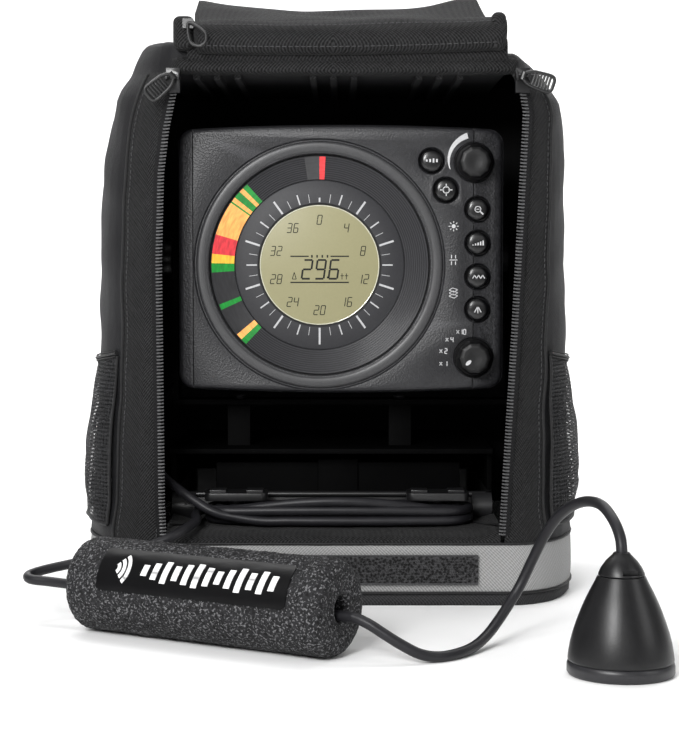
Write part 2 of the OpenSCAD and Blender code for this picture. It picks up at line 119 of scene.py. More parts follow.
class Form:
    """Gathers faces, and makes one mesh object of them."""

    def __init__(self):
        self.verts, self.faces, self.mats = [], [], []

    def add(self, verts, faces, mat=0):
        base = len(self.verts)
        self.verts += [tuple(v) for v in verts]
        self.faces += [[base + i for i in f] for f in faces]
        self.mats += [mat] * len(faces)
        return self

    def grid(self, rows, close=False, mat=0, cap=False, pick=None):
        """Quads between rows of points. close joins each row's end to its start, and cap fills
        both end rows."""
        n, m = len(rows), len(rows[0])
        faces, mats = [], []
        for i in range(n - 1):
            for j in range(m if close else m - 1):
                k = (j + 1) % m
                faces.append([i * m + j, i * m + k, (i + 1) * m + k, (i + 1) * m + j])
                mats.append(mat if pick is None else pick(i, j))
        if cap:
            faces += [list(range(m))[::-1], [(n - 1) * m + j for j in range(m)]]
            mats += [mats[0], mats[-1]]
        base = len(self.faces)
        self.add([p for row in rows for p in row], faces)
        self.mats[base:] = mats
        return self

    def block(self, low, high, mat=0):
        (a, b, c), (d, e, f) = low, high
        verts = [(a, b, c), (d, b, c), (d, e, c), (a, e, c), (a, b, f), (d, b, f), (d, e, f), (a, e, f)]
        return self.add(verts, [[3, 2, 1, 0], [4, 5, 6, 7], [0, 1, 5, 4], [1, 2, 6, 5], [2, 3, 7, 6],
                                [3, 0, 4, 7]], mat)

    def plate(self, outline, y0, y1, mat=0):
        """An outline of (x, z) points, as a plate from y0 (front) to y1 (back)."""
        verts = [(x, y0, z) for x, z in outline] + [(x, y1, z) for x, z in outline]
        return self.add(verts, slab_faces(len(outline)), mat)

    def lathe(self, profile, origin, axis, seg=96, mat=0, wobble=None, pick=None):
        """A closed or open profile of (radius, height) turned about an axis through origin."""
        u, v, w = basis(axis)
        rows = []
        for i, (r, h) in enumerate(profile):
            row = []
            for k in range(seg):
                a = TAU * k / seg
                q = r if wobble is None else wobble(r, h, a)
                row.append(Vector(origin) + w * h + (u * math.cos(a) + v * math.sin(a)) * q)
            rows.append(row)
        return self.grid(rows, close=True, mat=mat, cap=profile[0] != profile[-1], pick=pick)

    def tube(self, path, radius, sides=12, closed=False, mat=0, flat=1.0):
        """A tube along a path; flat squashes it across its second direction."""
        p = [Vector(q) for q in path]
        n = len(p)
        rows, side = [], None
        for i in range(n):
            a, b = (p[i - 1], p[(i + 1) % n]) if closed else (p[max(i - 1, 0)], p[min(i + 1, n - 1)])
            t = (b - a).normalized()
            if side is None:
                side = basis(t)[0]
            side = (side - t * side.dot(t)).normalized()
            other = t.cross(side)
            r = radius(i / (n - 1)) if callable(radius) else radius
            rows.append([p[i] + (side * math.cos(TAU * k / sides) + other * flat * math.sin(TAU * k / sides)) * r
                         for k in range(sides)])
        if closed:
            rows.append(rows[0])
        return self.grid(rows, close=True, mat=mat, cap=not closed)

    def make(self, name, materials, body, slot, replaces=(), ride=True, sharp=35):
        mesh = bpy.data.meshes.new(name)
        mesh.from_pydata([Vector(v) * MM for v in self.verts], [], self.faces)
        mesh.update()
        obj = bpy.data.objects.new(name, mesh)
        bpy.context.scene.collection.objects.link(obj)
        for m in materials if isinstance(materials, (list, tuple)) else [materials]:
            mesh.materials.append(m)
        mesh.polygons.foreach_set("material_index", self.mats)
        bm = bmesh.new()
        bm.from_mesh(mesh)
        bmesh.ops.remove_doubles(bm, verts=bm.verts, dist=1e-6)
        bmesh.ops.dissolve_degenerate(bm, dist=1e-7, edges=bm.edges)
        bmesh.ops.recalc_face_normals(bm, faces=bm.faces)
        bm.to_mesh(mesh)
        bm.free()
        finish_piece(obj, body, slot, replaces, sharp, ride)
        return obj


def finish_piece(obj, body, slot, replaces=(), sharp=35, ride=True):
    shade(obj, sharp)
    if replaces:
        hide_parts(*replaces)
    if ride:
        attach(obj, body)
    return obj


def shade(obj, sharp=35):
    obj.data.shade_smooth()
    obj.data.set_sharp_from_angle(angle=math.radians(sharp))


def basis(axis):
    """Two directions square to an axis, and the axis itself."""
    w = Vector(axis).normalized()
    u = w.cross(Vector((0, 0, 1)) if abs(w.z) < 0.9 else Vector((1, 0, 0))).normalized()
    return u, w.cross(u).normalized(), w


def settle(obj):
    """Turns the modifiers into plain mesh."""
    bpy.context.view_layer.update()
    graph = bpy.context.evaluated_depsgraph_get()
    mesh = bpy.data.meshes.new_from_object(obj.evaluated_get(graph))
    old = obj.data
    obj.modifiers.clear()
    obj.data = mesh
    bpy.data.meshes.remove(old)


def bevelled(obj, width, segments=3, angle=32):
    m = obj.modifiers.new("round", "BEVEL")
    m.width = width * MM
    m.segments = segments
    m.limit_method = "ANGLE"
    m.angle_limit = math.radians(angle)
    m.harden_normals = False
    m.use_clamp_overlap = True
    return obj


def softened(node, material, body, slot, width=0.6, name=None):
    """A copy of a CAD node with rounded edges, in place of the node."""
    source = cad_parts[node]
    mesh = source.data.copy()
    obj = bpy.data.objects.new(name or node + "_rounded", mesh)
    bpy.context.scene.collection.objects.link(obj)
    bm = bmesh.new()
    bm.from_mesh(mesh)
    bmesh.ops.remove_doubles(bm, verts=bm.verts, dist=1e-6)
    bmesh.ops.dissolve_limit(bm, angle_limit=math.radians(1), verts=bm.verts, edges=bm.edges)
    bm.to_mesh(mesh)
    bm.free()
    mesh.materials.clear()
    mesh.materials.append(material)
    bevelled(obj, width)
    settle(obj)
    finish_piece(obj, body, slot, [node])
    return obj


def thicken(obj, thickness, sharp=35, **settings):
    """Gives a sheet its thickness."""
    m = obj.modifiers.new("thick", "SOLIDIFY")
    m.thickness = thickness * MM
    for key, value in settings.items():
        setattr(m, key, value)
    settle(obj)
    shade(obj, sharp)


def cut(obj, cutters):
    """Takes the cutters away from obj, and removes them."""
    for c in cutters:
        m = obj.modifiers.new("cut", "BOOLEAN")
        m.operation = "DIFFERENCE"
        m.solver = "EXACT"
        m.object = c
    settle(obj)
    for c in cutters:
        bpy.data.objects.remove(c)


def bare(form, name):
    """A form as an object that isn't one of the model's pieces."""
    mesh = bpy.data.meshes.new(name)
    mesh.from_pydata([Vector(v) * MM for v in form.verts], [], form.faces)
    obj = bpy.data.objects.new(name, mesh)
    bpy.context.scene.collection.objects.link(obj)
    return obj


def cutter(form):
    obj = bare(form, "cutter")
    mesh = obj.data
    bm = bmesh.new()
    bm.from_mesh(mesh)
    bmesh.ops.remove_doubles(bm, verts=bm.verts, dist=1e-6)
    bmesh.ops.recalc_face_normals(bm, faces=bm.faces)
    bm.to_mesh(mesh)
    bm.free()
    return obj


# ---------- camera, light and floor ----------
CAMERA_AT = (0.0035, -1.167, 0.198)
CAMERA_DOWN = 3.31      # degrees below level
LENS = 89.5
FLOOR_END, SWEEP_R, WALL_TOP = 900, 700, 3200


def studio():
    camera_data = bpy.data.cameras.new("camera")
    camera = bpy.data.objects.new("camera", camera_data)
    bpy.context.scene.collection.objects.link(camera)
    camera_data.lens = LENS
    camera_data.sensor_width = 36
    camera_data.clip_start = 0.05
    camera.location = CAMERA_AT
    camera.rotation_euler = (math.radians(90 - CAMERA_DOWN), 0, 0)
    bpy.context.scene.camera = camera

    def softbox(name, place, aim, size, power):
        data = bpy.data.lights.new(name, "AREA")
        data.shape = "RECTANGLE"
        data.size, data.size_y = size
        data.energy = power
        lamp = bpy.data.objects.new(name, data)
        lamp.location = place
        lamp.rotation_euler = (Vector(aim) - Vector(place)).to_track_quat("-Z", "Y").to_euler()
        bpy.context.scene.collection.objects.link(lamp)

    softbox("key", (-0.85, -1.25, 1.25), (0, -0.05, 0.2), (0.7, 0.7), 11)
    softbox("fill", (1.4, -0.9, 0.8), (0, 0, 0.15), (0.6, 1.0), 5)
    softbox("top", (0, -0.1, 1.7), (0, -0.05, 0.2), (1.6, 1.2), 4)
    softbox("front", (0.1, -2.3, 0.7), (0, 0, 0.1), (1.4, 0.6), 2.5)
    softbox("near", (-0.28, -1.0, 0.50), (-0.05, -0.06, 0.24), (0.25, 0.25), 7)
    softbox("backdrop", (0, 0.7, 1.8), (0, 1.4, 0.5), (2.4, 0.6), 40)
    world = bpy.data.worlds.new("studio")
    bpy.context.scene.world = world
    world.use_nodes = True
    background = world.node_tree.nodes["Background"]
    background.inputs["Color"].default_value = (1, 1, 1, 1)
    background.inputs["Strength"].default_value = 0.26
    bpy.context.scene.view_settings.view_transform = "Standard"

    # floor that curves up behind the object
    rows = []
    for x in steps(-3000, 3000, 2):
        row = [(x, -3500, 0), (x, FLOOR_END, 0)]
        row += [(x, FLOOR_END + SWEEP_R * math.sin(a), SWEEP_R - SWEEP_R * math.cos(a))
                for a in steps(0, math.pi / 2, 16)[1:]]
        row += [(x, FLOOR_END + SWEEP_R, WALL_TOP)]
        rows.append(row)
    floor = bare(Form().grid(rows), "studio_floor")
    floor.data.shade_smooth()
    floor.data.materials.append(material("studio_white", (0.93, 0.93, 0.93), 0.7, tone=[("noise", 3, 0.01)]))


# ---------- materials ----------
class Tree:
    """A material's node tree, with short ways to add nodes."""

    def __init__(self, name):
        self.mat = bpy.data.materials.new(name)
        self.mat.use_nodes = True
        self.nodes, self.links = self.mat.node_tree.nodes, self.mat.node_tree.links
        self.bsdf = self.nodes["Principled BSDF"]
        self.place = self.nodes.new("ShaderNodeTexCoord").outputs["Object"]

    def wire(self, source, socket):
        if isinstance(source, (int, float, tuple)):
            socket.default_value = source
        else:
            self.links.new(source, socket)

    def node(self, kind, out=0, inputs=None, **settings):
        n = self.nodes.new(kind)
        for key, value in settings.items():
            setattr(n, key, value)
        for key, value in (inputs or {}).items():
            self.wire(value, n.inputs[key])
        return n.outputs[out]

    def math(self, operation, a, b=0.0, clamp=False):
        return self.node("ShaderNodeMath", inputs={0: a, 1: b}, operation=operation, use_clamp=clamp)

    def noise(self, scale, detail=3.0, stretch=None):
        vector = self.place
        if stretch:
            vector = self.node("ShaderNodeMapping", inputs={0: vector, 3: stretch})
        return self.node("ShaderNodeTexNoise", inputs={"Vector": vector, "Scale": scale, "Detail": detail,
                                                       "Roughness": 0.6})

    def cells(self, scale, feature="F1"):
        return self.node("ShaderNodeTexVoronoi", inputs={"Vector": self.place, "Scale": scale},
                         feature=feature)

    def weave(self, pitch):
        """A twill: ribs that cross at a slant, on every face that isn't seen from one edge. 0 to 1."""
        x, y, z = (self.node("ShaderNodeSeparateXYZ", k, {0: self.place}) for k in range(3))
        a = self.math("SUBTRACT", self.math("ABSOLUTE", x), self.math("ABSOLUTE", y))
        b = self.math("ADD", z, self.math("MULTIPLY", y, 0.5))
        turn = TAU / (pitch * MM)
        rib = self.math("SINE", self.math("MULTIPLY", self.math("ADD", a, b), turn))
        cross = self.math("SINE", self.math("MULTIPLY", self.math("SUBTRACT", a, b), turn * 0.62))
        both = self.math("ADD", self.math("MULTIPLY", rib, 0.34), self.math("MULTIPLY", cross, 0.16))
        return self.math("ADD", both, 0.5)

    def from_dial(self):
        """How far a point is from the dial's axis, and its angle round it."""
        c = centre("dial_window")
        x, z = (self.node("ShaderNodeSeparateXYZ", k, {0: self.place}) for k in (0, 2))
        dx, dz = self.math("SUBTRACT", x, c[0] * MM), self.math("SUBTRACT", z, c[2] * MM)
        square = self.math("ADD", self.math("MULTIPLY", dx, dx), self.math("MULTIPLY", dz, dz))
        return self.math("POWER", square, 0.5), self.math("ARCTAN2", dz, dx)

    def ramp(self, factor, low, high, at=(0.3, 0.7)):
        n = self.nodes.new("ShaderNodeValToRGB")
        n.color_ramp.elements[0].color, n.color_ramp.elements[1].color = (*low, 1), (*high, 1)
        n.color_ramp.elements[0].position, n.color_ramp.elements[1].position = at
        self.links.new(factor, n.inputs[0])
        return n.outputs[0]

    def height(self, kind, size):
        if kind == "weave":
            return self.weave(size)
        if kind == "rings":
            wave = self.math("SINE", self.math("MULTIPLY", self.from_dial()[0], TAU / (size * MM)))
            return self.math("ADD", self.math("MULTIPLY", wave, 0.5), 0.5)
        return self.cells(size) if kind == "cells" else self.noise(size)


def scaled(color, k):
    return tuple(min(c * k, 1.0) for c in color)


def material(name, color, rough, metal=0.0, tone=(), grain=(), sheen=0.0, coat=0.0, spec=0.5, rough_vary=0.0,
             wear=0.0, flecks=None, alpha_mesh=None, glow=None):
    """A procedural material. tone lists (kind, size, share) that vary the colour, and grain (kind,
    size, strength, depth in mm) that raise the surface. flecks is (scale, threshold, colour), and
    wear lightens worn edges."""
    t = Tree(name)
    b = t.bsdf
    b.inputs["Metallic"].default_value = metal
    b.inputs["Specular IOR Level"].default_value = spec
    b.inputs["Coat Weight"].default_value = coat
    b.inputs["Coat Roughness"].default_value = 0.12
    b.inputs["Sheen Weight"].default_value = sheen
    b.inputs["Sheen Roughness"].default_value = 0.26
    shown = None
    for kind, size, share in tone or [("noise", 25, 0.08)]:
        layer = t.ramp(t.height(kind, size), scaled(color, 1 - share), scaled(color, 1 + share))
        if shown is None:
            shown = layer
        else:
            shown = t.node("ShaderNodeMix", 2, {0: 0.6, 6: shown, 7: layer}, data_type="RGBA")
    if flecks:
        scale, threshold, tint = flecks
        mask = t.math("GREATER_THAN", t.noise(scale, 2.0), threshold)
        shown = t.node("ShaderNodeMix", 2, {0: mask, 6: shown, 7: (*tint, 1)}, data_type="RGBA")
    if wear:
        point = t.node("ShaderNodeNewGeometry", "Pointiness")
        mask = t.math("MULTIPLY", t.math("SUBTRACT", point, 0.53), 9.0, clamp=True)
        mask = t.math("MULTIPLY", mask, wear)
        shown = t.node("ShaderNodeMix", 2, {0: mask, 6: shown, 7: (*scaled(color, 2.6), 1)}, data_type="RGBA")
    t.wire(shown, b.inputs["Base Color"])
    if rough_vary:
        spread = t.node("ShaderNodeMapRange", inputs={0: t.noise(60, 3.0), 3: rough - rough_vary,
                                                      4: rough + rough_vary})
        t.wire(spread, b.inputs["Roughness"])
    else:
        b.inputs["Roughness"].default_value = rough
    normal = None
    for kind, size, strength, depth in grain:
        inputs = {"Height": t.height(kind, size), "Strength": strength, "Distance": depth * MM}
        if normal is not None:
            inputs["Normal"] = normal
        normal = t.node("ShaderNodeBump", inputs=inputs)
    if normal is not None:
        t.wire(normal, b.inputs["Normal"])
    if alpha_mesh:
        t.wire(t.math("GREATER_THAN", net(t, alpha_mesh), 0.36), b.inputs["Alpha"])
    if glow:
        b.inputs["Emission Color"].default_value = (*glow[0], 1)
        b.inputs["Emission Strength"].default_value = glow[1]
    return t.mat


def net(t, pitch):
    """Open netting: low in each round hole, high on the threads between."""
    x, y, z = (t.node("ShaderNodeSeparateXYZ", k, {0: t.place}) for k in range(3))
    turn = TAU / (pitch * MM)
    a = t.math("SINE", t.math("MULTIPLY", t.math("ADD", y, z), turn))
    b = t.math("SINE", t.math("MULTIPLY", t.math("SUBTRACT", y, z), turn))
    return t.math("ADD", t.math("MULTIPLY", t.math("MULTIPLY", a, b), 0.5), 0.5)


def make_materials():
    m = {}

    def add(name, *settings, **more):
        m[name] = material(name, *settings, **more)

    add("cordura", (0.017, 0.017, 0.0175), 0.8, tone=[("noise", 40, 0.6), ("noise", 480, 1.0),
                                                      ("weave", 2.0, 1.0)],
        grain=[("weave", 2.0, 1.0, 0.5), ("noise", 900, 0.6, 0.3), ("noise", 30, 0.3, 1.5)], sheen=0.03,
        spec=0.15)
    add("nylon", (0.0085, 0.0085, 0.0096), 0.62, tone=[("noise", 22, 0.6), ("weave", 1.5, 0.8)],
        grain=[("weave", 1.5, 0.5, 0.2), ("noise", 26, 0.5, 2.5)], sheen=0.02, spec=0.2)
    add("liner", (0.012, 0.012, 0.0125), 0.9, grain=[("noise", 400, 0.3, 0.3)], spec=0.1)
    add("grey_band", (0.26, 0.26, 0.258), 0.65, tone=[("noise", 12, 0.1), ("weave", 1.9, 0.4)],
        grain=[("weave", 1.9, 0.6, 0.3), ("noise", 25, 0.4, 1.6)], sheen=0.05, spec=0.25)
    add("base_cloth", (0.02, 0.02, 0.021), 0.7, tone=[("weave", 1.9, 0.6)],
        grain=[("weave", 1.9, 0.5, 0.3), ("noise", 40, 0.4, 1.0)], spec=0.25)
    add("hook", (0.028, 0.028, 0.029), 0.8, tone=[("cells", 600, 0.8)], grain=[("cells", 700, 0.9, 0.5)],
        spec=0.25)
    add("piping", (0.009, 0.009, 0.0095), 0.6, tone=[("noise", 300, 0.3)], grain=[("noise", 900, 0.5, 0.2)],
        spec=0.3)
    add("thread", (0.05, 0.05, 0.052), 0.7, tone=[("noise", 900, 0.3)], spec=0.3)
    add("netting", (0.010, 0.010, 0.011), 0.7, tone=[("cells", 500, 0.6)], grain=[("cells", 600, 0.7, 0.4)],
        alpha_mesh=4.6, spec=0.25)
    add("tape", (0.006, 0.006, 0.0065), 0.8, tone=[("weave", 1.6, 0.6)], grain=[("weave", 1.6, 0.6, 0.2)],
        spec=0.2)
    add("teeth", (0.07, 0.07, 0.072), 0.3, tone=[("noise", 500, 0.4)], grain=[("noise", 900, 0.2, 0.1)],
        spec=0.6)
    add("zip_metal", (0.006, 0.006, 0.0064), 0.3, 0.0, tone=[("noise", 200, 0.3)],
        grain=[("noise", 300, 0.25, 0.1)], coat=0.2, wear=0.6, spec=0.3)
    add("pull_rubber", (0.003, 0.003, 0.0033), 0.42, tone=[("noise", 300, 0.3)],
        grain=[("noise", 800, 0.3, 0.1)], wear=0.3, coat=0.1)
    add("tray", (0.0075, 0.0075, 0.008), 0.34, tone=[("noise", 40, 0.25)],
        grain=[("noise", 900, 0.3, 0.12), ("noise", 60, 0.15, 0.5)], rough_vary=0.06, wear=0.5)
    # the tray plastic at twice its brightness: painted highlight for the satin strip at the tray's front ends
    add("painted_highlight_lip", (0.016, 0.016, 0.017), 0.34, tone=[("noise", 40, 0.25)], grain=[("noise", 900, 0.3, 0.12)],
        rough_vary=0.06)
    # near-black interior plastic, far darker than real black plastic: painted shade for the inside of the case
    add("inner_painted_shade", (0.0015, 0.0015, 0.0016), 0.6, tone=[("noise", 50, 0.25)],
        grain=[("noise", 700, 0.3, 0.15)], spec=0.03)
    add("steel", (0.02, 0.02, 0.021), 0.45, 0.6, tone=[("noise", 200, 0.2)],
        grain=[("noise", 600, 0.15, 0.05)])
    add("housing", (0.020, 0.020, 0.022), 0.38, spec=0.34, tone=[("noise", 560, 0.55), ("noise", 25, 0.1)],
        grain=[("cells", 900, 0.5, 0.2), ("noise", 1100, 0.5, 0.15)], rough_vary=0.06, wear=0.5)
    add("housing_coarse", (0.017, 0.017, 0.019), 0.46, spec=0.36, tone=[("noise", 560, 0.6)],
        grain=[("cells", 800, 0.7, 0.2), ("noise", 900, 0.6, 0.25)], wear=0.5)
    add("bezel", (0.034, 0.034, 0.036), 0.36, tone=[("noise", 600, 0.3), ("noise", 40, 0.08)],
        grain=[("noise", 1200, 0.35, 0.08)], wear=0.3)
    add("window", (0.019, 0.019, 0.0215), 0.4, spec=0.2, tone=[("noise", 60, 0.12), ("rings", 1.25, 0.75)],
        grain=[("rings", 1.25, 0.6, 0.12)], coat=0.03)
    add("plate", (0.024, 0.024, 0.027), 0.5, tone=[("noise", 700, 0.25), ("noise", 50, 0.06)],
        grain=[("noise", 1100, 0.25, 0.06)], spec=0.35)
    add("white_ink", (0.55, 0.55, 0.56), 0.5, tone=[("noise", 800, 0.08)])
    add("grey_ink", (0.44, 0.44, 0.45), 0.5, tone=[("noise", 800, 0.1)])
    add("lcd", (0.252, 0.236, 0.13), 0.35, tone=[("noise", 14, 0.05), ("noise", 900, 0.04)],
        grain=[("noise", 1500, 0.08, 0.02)], spec=0.3, glow=((0.252, 0.236, 0.13), 0.12))
    add("lcd_ink", (0.008, 0.008, 0.007), 0.5, tone=[("noise", 900, 0.1)], spec=0.2)
    add("lcd_rim", (0.60, 0.59, 0.46), 0.25, tone=[("noise", 400, 0.1)], coat=0.5)
    for name, color in (("green", (0.003, 0.20, 0.022)), ("orange", (0.80, 0.34, 0.085)),
                        ("red", (0.55, 0.03, 0.04)),
                        ("yellow", (0.80, 0.40, 0.035)), ("off", (0.018, 0.018, 0.020)),
                        ("signal", (0.70, 0.02, 0.025))):
        m["echo_" + name] = echo_material("echo_" + name, color)
    add("knob", (0.004, 0.004, 0.0044), 0.42, spec=0.35, tone=[("noise", 500, 0.3)],
        grain=[("noise", 1100, 0.4, 0.1)], rough_vary=0.05, wear=0.6)
    add("button", (0.0035, 0.0035, 0.004), 0.28, tone=[("noise", 400, 0.2)],
        grain=[("noise", 900, 0.1, 0.05)], coat=0.35, spec=0.35)
    add("cord", (0.013, 0.0128, 0.015), 0.42, tone=[("noise", 120, 0.15)],
        grain=[("noise", 1000, 0.3, 0.1), ("noise", 150, 0.2, 0.4)], rough_vary=0.05, spec=0.3)
    add("foam", (0.011, 0.011, 0.012), 0.75, tone=[("cells", 420, 1.0), ("noise", 620, 1.0)],
        grain=[("cells", 420, 1.0, 0.8), ("noise", 900, 0.7, 0.3)],
        flecks=(820, 0.585, (0.13, 0.13, 0.135)), spec=0.25)
    add("label", (0.002, 0.002, 0.0024), 0.34, tone=[("noise", 60, 0.3)],
        grain=[("noise", 60, 0.12, 0.4), ("noise", 500, 0.1, 0.05)], spec=0.2)
    add("label_ink", (0.80, 0.80, 0.80), 0.4, tone=[("noise", 300, 0.05)])
    add("puck", (0.005, 0.005, 0.0056), 0.36, spec=0.4, tone=[("noise", 500, 0.3)],
        grain=[("noise", 1000, 0.45, 0.1)], rough_vary=0.06, wear=0.4)
    add("puck_ring", (0.015, 0.0148, 0.017), 0.38, tone=[("noise", 300, 0.2)],
        grain=[("noise", 900, 0.25, 0.08)], wear=0.5)
    add("circuit", (0.02, 0.12, 0.06), 0.45, tone=[("cells", 200, 0.3)], grain=[("cells", 200, 0.4, 0.2)])
    add("rubber", (0.006, 0.006, 0.0066), 0.6, tone=[("noise", 300, 0.3)], grain=[("noise", 900, 0.3, 0.1)])
    return m


def echo_material(name, color):
    """A lit bar: streaks that run round the dial, and a little light of its own."""
    t = Tree(name)
    r, angle = t.from_dial()
    ring = t.node("ShaderNodeCombineXYZ", inputs={0: r, 1: t.math("MULTIPLY", angle, 0.012)})
    streak = t.node("ShaderNodeTexNoise", inputs={"Vector": ring, "Scale": 700.0, "Detail": 3.0})
    shown = t.ramp(streak, scaled(color, 0.72), scaled(color, 1.15), at=(0.35, 0.65))
    t.wire(shown, t.bsdf.inputs["Base Color"])
    t.wire(shown, t.bsdf.inputs["Emission Color"])
    t.bsdf.inputs["Emission Strength"].default_value = 0.0 if name == "echo_off" else 0.35
    t.bsdf.inputs["Roughness"].default_value = 0.35
    t.bsdf.inputs["Coat Weight"].default_value = 0.2
    return t.mat


M = make_materials()
studio()

# ---------- the cord ----------
CORD_D = 5.5
LEAD = [(-50, 46, 170), (-50, 58, 170), (-55, 70, 164), (-68, 77, 151), (-85, 74, 137), (-100, 62, 124),
        (-112, 42, 111), (-118, 18, 100), (-119, -8, 91), (-115, -34, 83), (-108, -54, 76), (-99, -68, 69.5),
        (-90, -77, 64), (-81, -82, 58.5), (-72, -84.5, 53.5), (-62, -84.75, 50.5)]
RUN = [(-58, -47.25, 50.5), (-72, -50, 50.5), (-80, -60, 50.5), (-82, -76, 49.8), (-80, -92, 49),
       (-83, -104, 47.5), (-91, -115.5, 43.5), (-104, -119.5, 38.5), (-120, -121, 34.5), (-136, -122, 31),
       (-152, -125, 28), (-164, -131, 26), (-170.5, -139.5, 24.6), (-168, -147, 23.6), (-158, -150.6, 23),
       (-146, -156.6, 22.6), (-133, -164.3, 22.3), (-86, -192.1, 22.1), (-40, -219.4, 21.8),
       (5, -246, 21.8), (11, -249.6, 21.7), (18, -253.1, 19.2), (26, -255.3, 14.4), (34, -256.4, 9.6),
       (43.5, -256.5, 4.8),
       (53, -253.6, 2.8), (63, -245.6, 2.8), (72, -233, 3.6), (80, -219.5, 7), (87, -208.5, 13),
       (93, -201.3, 20), (99, -197.6, 29), (105, -198, 42), (110.5, -202.6, 55), (116, -211.4, 66),
       (122, -224, 74.2), (128, -239.5, 79), (133.3, -255, 79.2), (137.2, -267.2, 74),
       (139.5, -275.6, 67), (140, -279, 60), (140, -279, 51)]


def winding():
    """The turns on the two cleats: three side by side, then three on top, with slack between the cleats."""
    low, high = edges("cord_winding")
    middle_y = (low[1] + high[1]) / 2
    outer = (high[1] - low[1]) / 2 - CORD_D / 2
    left, right = low[0] + outer + CORD_D / 2, high[0] - outer - CORD_D / 2
    levels = [low[2] + CORD_D / 2, high[2] - CORD_D / 2]
    # (radius, height) of each turn, outer to inner on the lower level and back out on the upper one
    turns = [(outer - CORD_D * k, levels[0]) for k in range(3)] + [(outer - CORD_D * k,
            levels[1]) for k in (2, 1, 0)]
    points = []
    for i, (r, z) in enumerate(turns):
        slack, lift = ((2.2, 0), (2, 0), (1.8, 0), (1, 1.5), (9, 6.2), (2.5, 0.8))[i]
        for t in steps(0, 1, 8)[:-1]:      # front run, to the right
            if i == 0 and t < 0.1:
                continue
            arch = math.sin(math.pi * t)
            points.append((mix(left, right, t), middle_y - r - slack * arch, z + lift * arch))
        for a in steps(-90, 90, 9)[:-1]:   # round the right cleat
            points.append((right + r * math.cos(math.radians(a)), middle_y + r * math.sin(math.radians(a)),
                           z))
        if i == len(turns) - 1:
            for t in steps(0, 1, 8)[:-2]:
                points.append((mix(right, left, t), middle_y + r, mix(z, 50.5, t)))
            break
        r2, z2 = turns[i + 1]
        for t in steps(0, 1, 8)[:-1]:
            points.append((mix(right, left, t), middle_y + r, z))
        for a in steps(90, 270, 9)[:-1]:   # round the left cleat, moving over to the next turn
            s = smooth((a - 90) / 180)
            rr = mix(r, r2, s)
            points.append((left + rr * math.cos(math.radians(a)), middle_y + rr * math.sin(math.radians(a)),
                           mix(z, z2, s)))
    return points


def make_cord():
    path = curve_through(LEAD + winding() + RUN, 5)
    length = sum((b - a).length for a, b in zip(path, path[1:]))
    form = Form().tube(path, CORD_D / 2, sides=16)
    obj = form.make("cord", M["cord"], "root", "cord_jacket", ["cord_lead", "cord_winding", "cord_run"],
                    ride=False)
    plug = softened("sonar_plug", M["rubber"], "head", "cord_jacket", 0.4, "sonar_plug_moulded")
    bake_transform(obj)
    print("cord length", round(length), "mm")


make_cord()

# ---------- the soft case ----------
BAND_TOP = edges("trim_band")[1][2]
BASE_TOP = edges("base_panel")[1][2]
FRONT_Y, BACK_Y = edges("base_panel")[0][1], edges("base_panel")[1][1]
HEADER_Z = 309.5
CROWN_Z = 321
CORNER_WIDE, CORNER_DEEP, CORNER_BACK = 42, 75, 42
LEFT_EDGE = [(36, -100), (60, -101), (200, -102), (250, -100.5), (275, -97.5), (292, -94), (305, -91),
             (310, -90)]
RIGHT_EDGE = [(36, 99), (160, 106), (285, 112), (297, 110), (303, 107.7), (310, 104)]
LEFT_W = [(0, 148), (36, 149), (90, 146.5), (145, 143.5), (211, 142.3), (245, 140.8), (262, 139),
          (285, 134.5),
          (297, 131.5), (303, 128.5), (309, 124.5), (314, 120.5), (318, 115), (321, 106)]
RIGHT_W = [(0, 144.5), (36, 145.5), (90, 143.5), (150, 141.5), (262, 141), (285, 139.5), (294, 137),
           (302, 131.5),
           (310, 126.5), (317, 120), (320, 114), (322, 107)]
# how many stretches the outline has in each part: front left, corner, side, corner, back, and the same again
PARTS = [9, 9, 20, 9, 26, 9, 20, 9, 9]


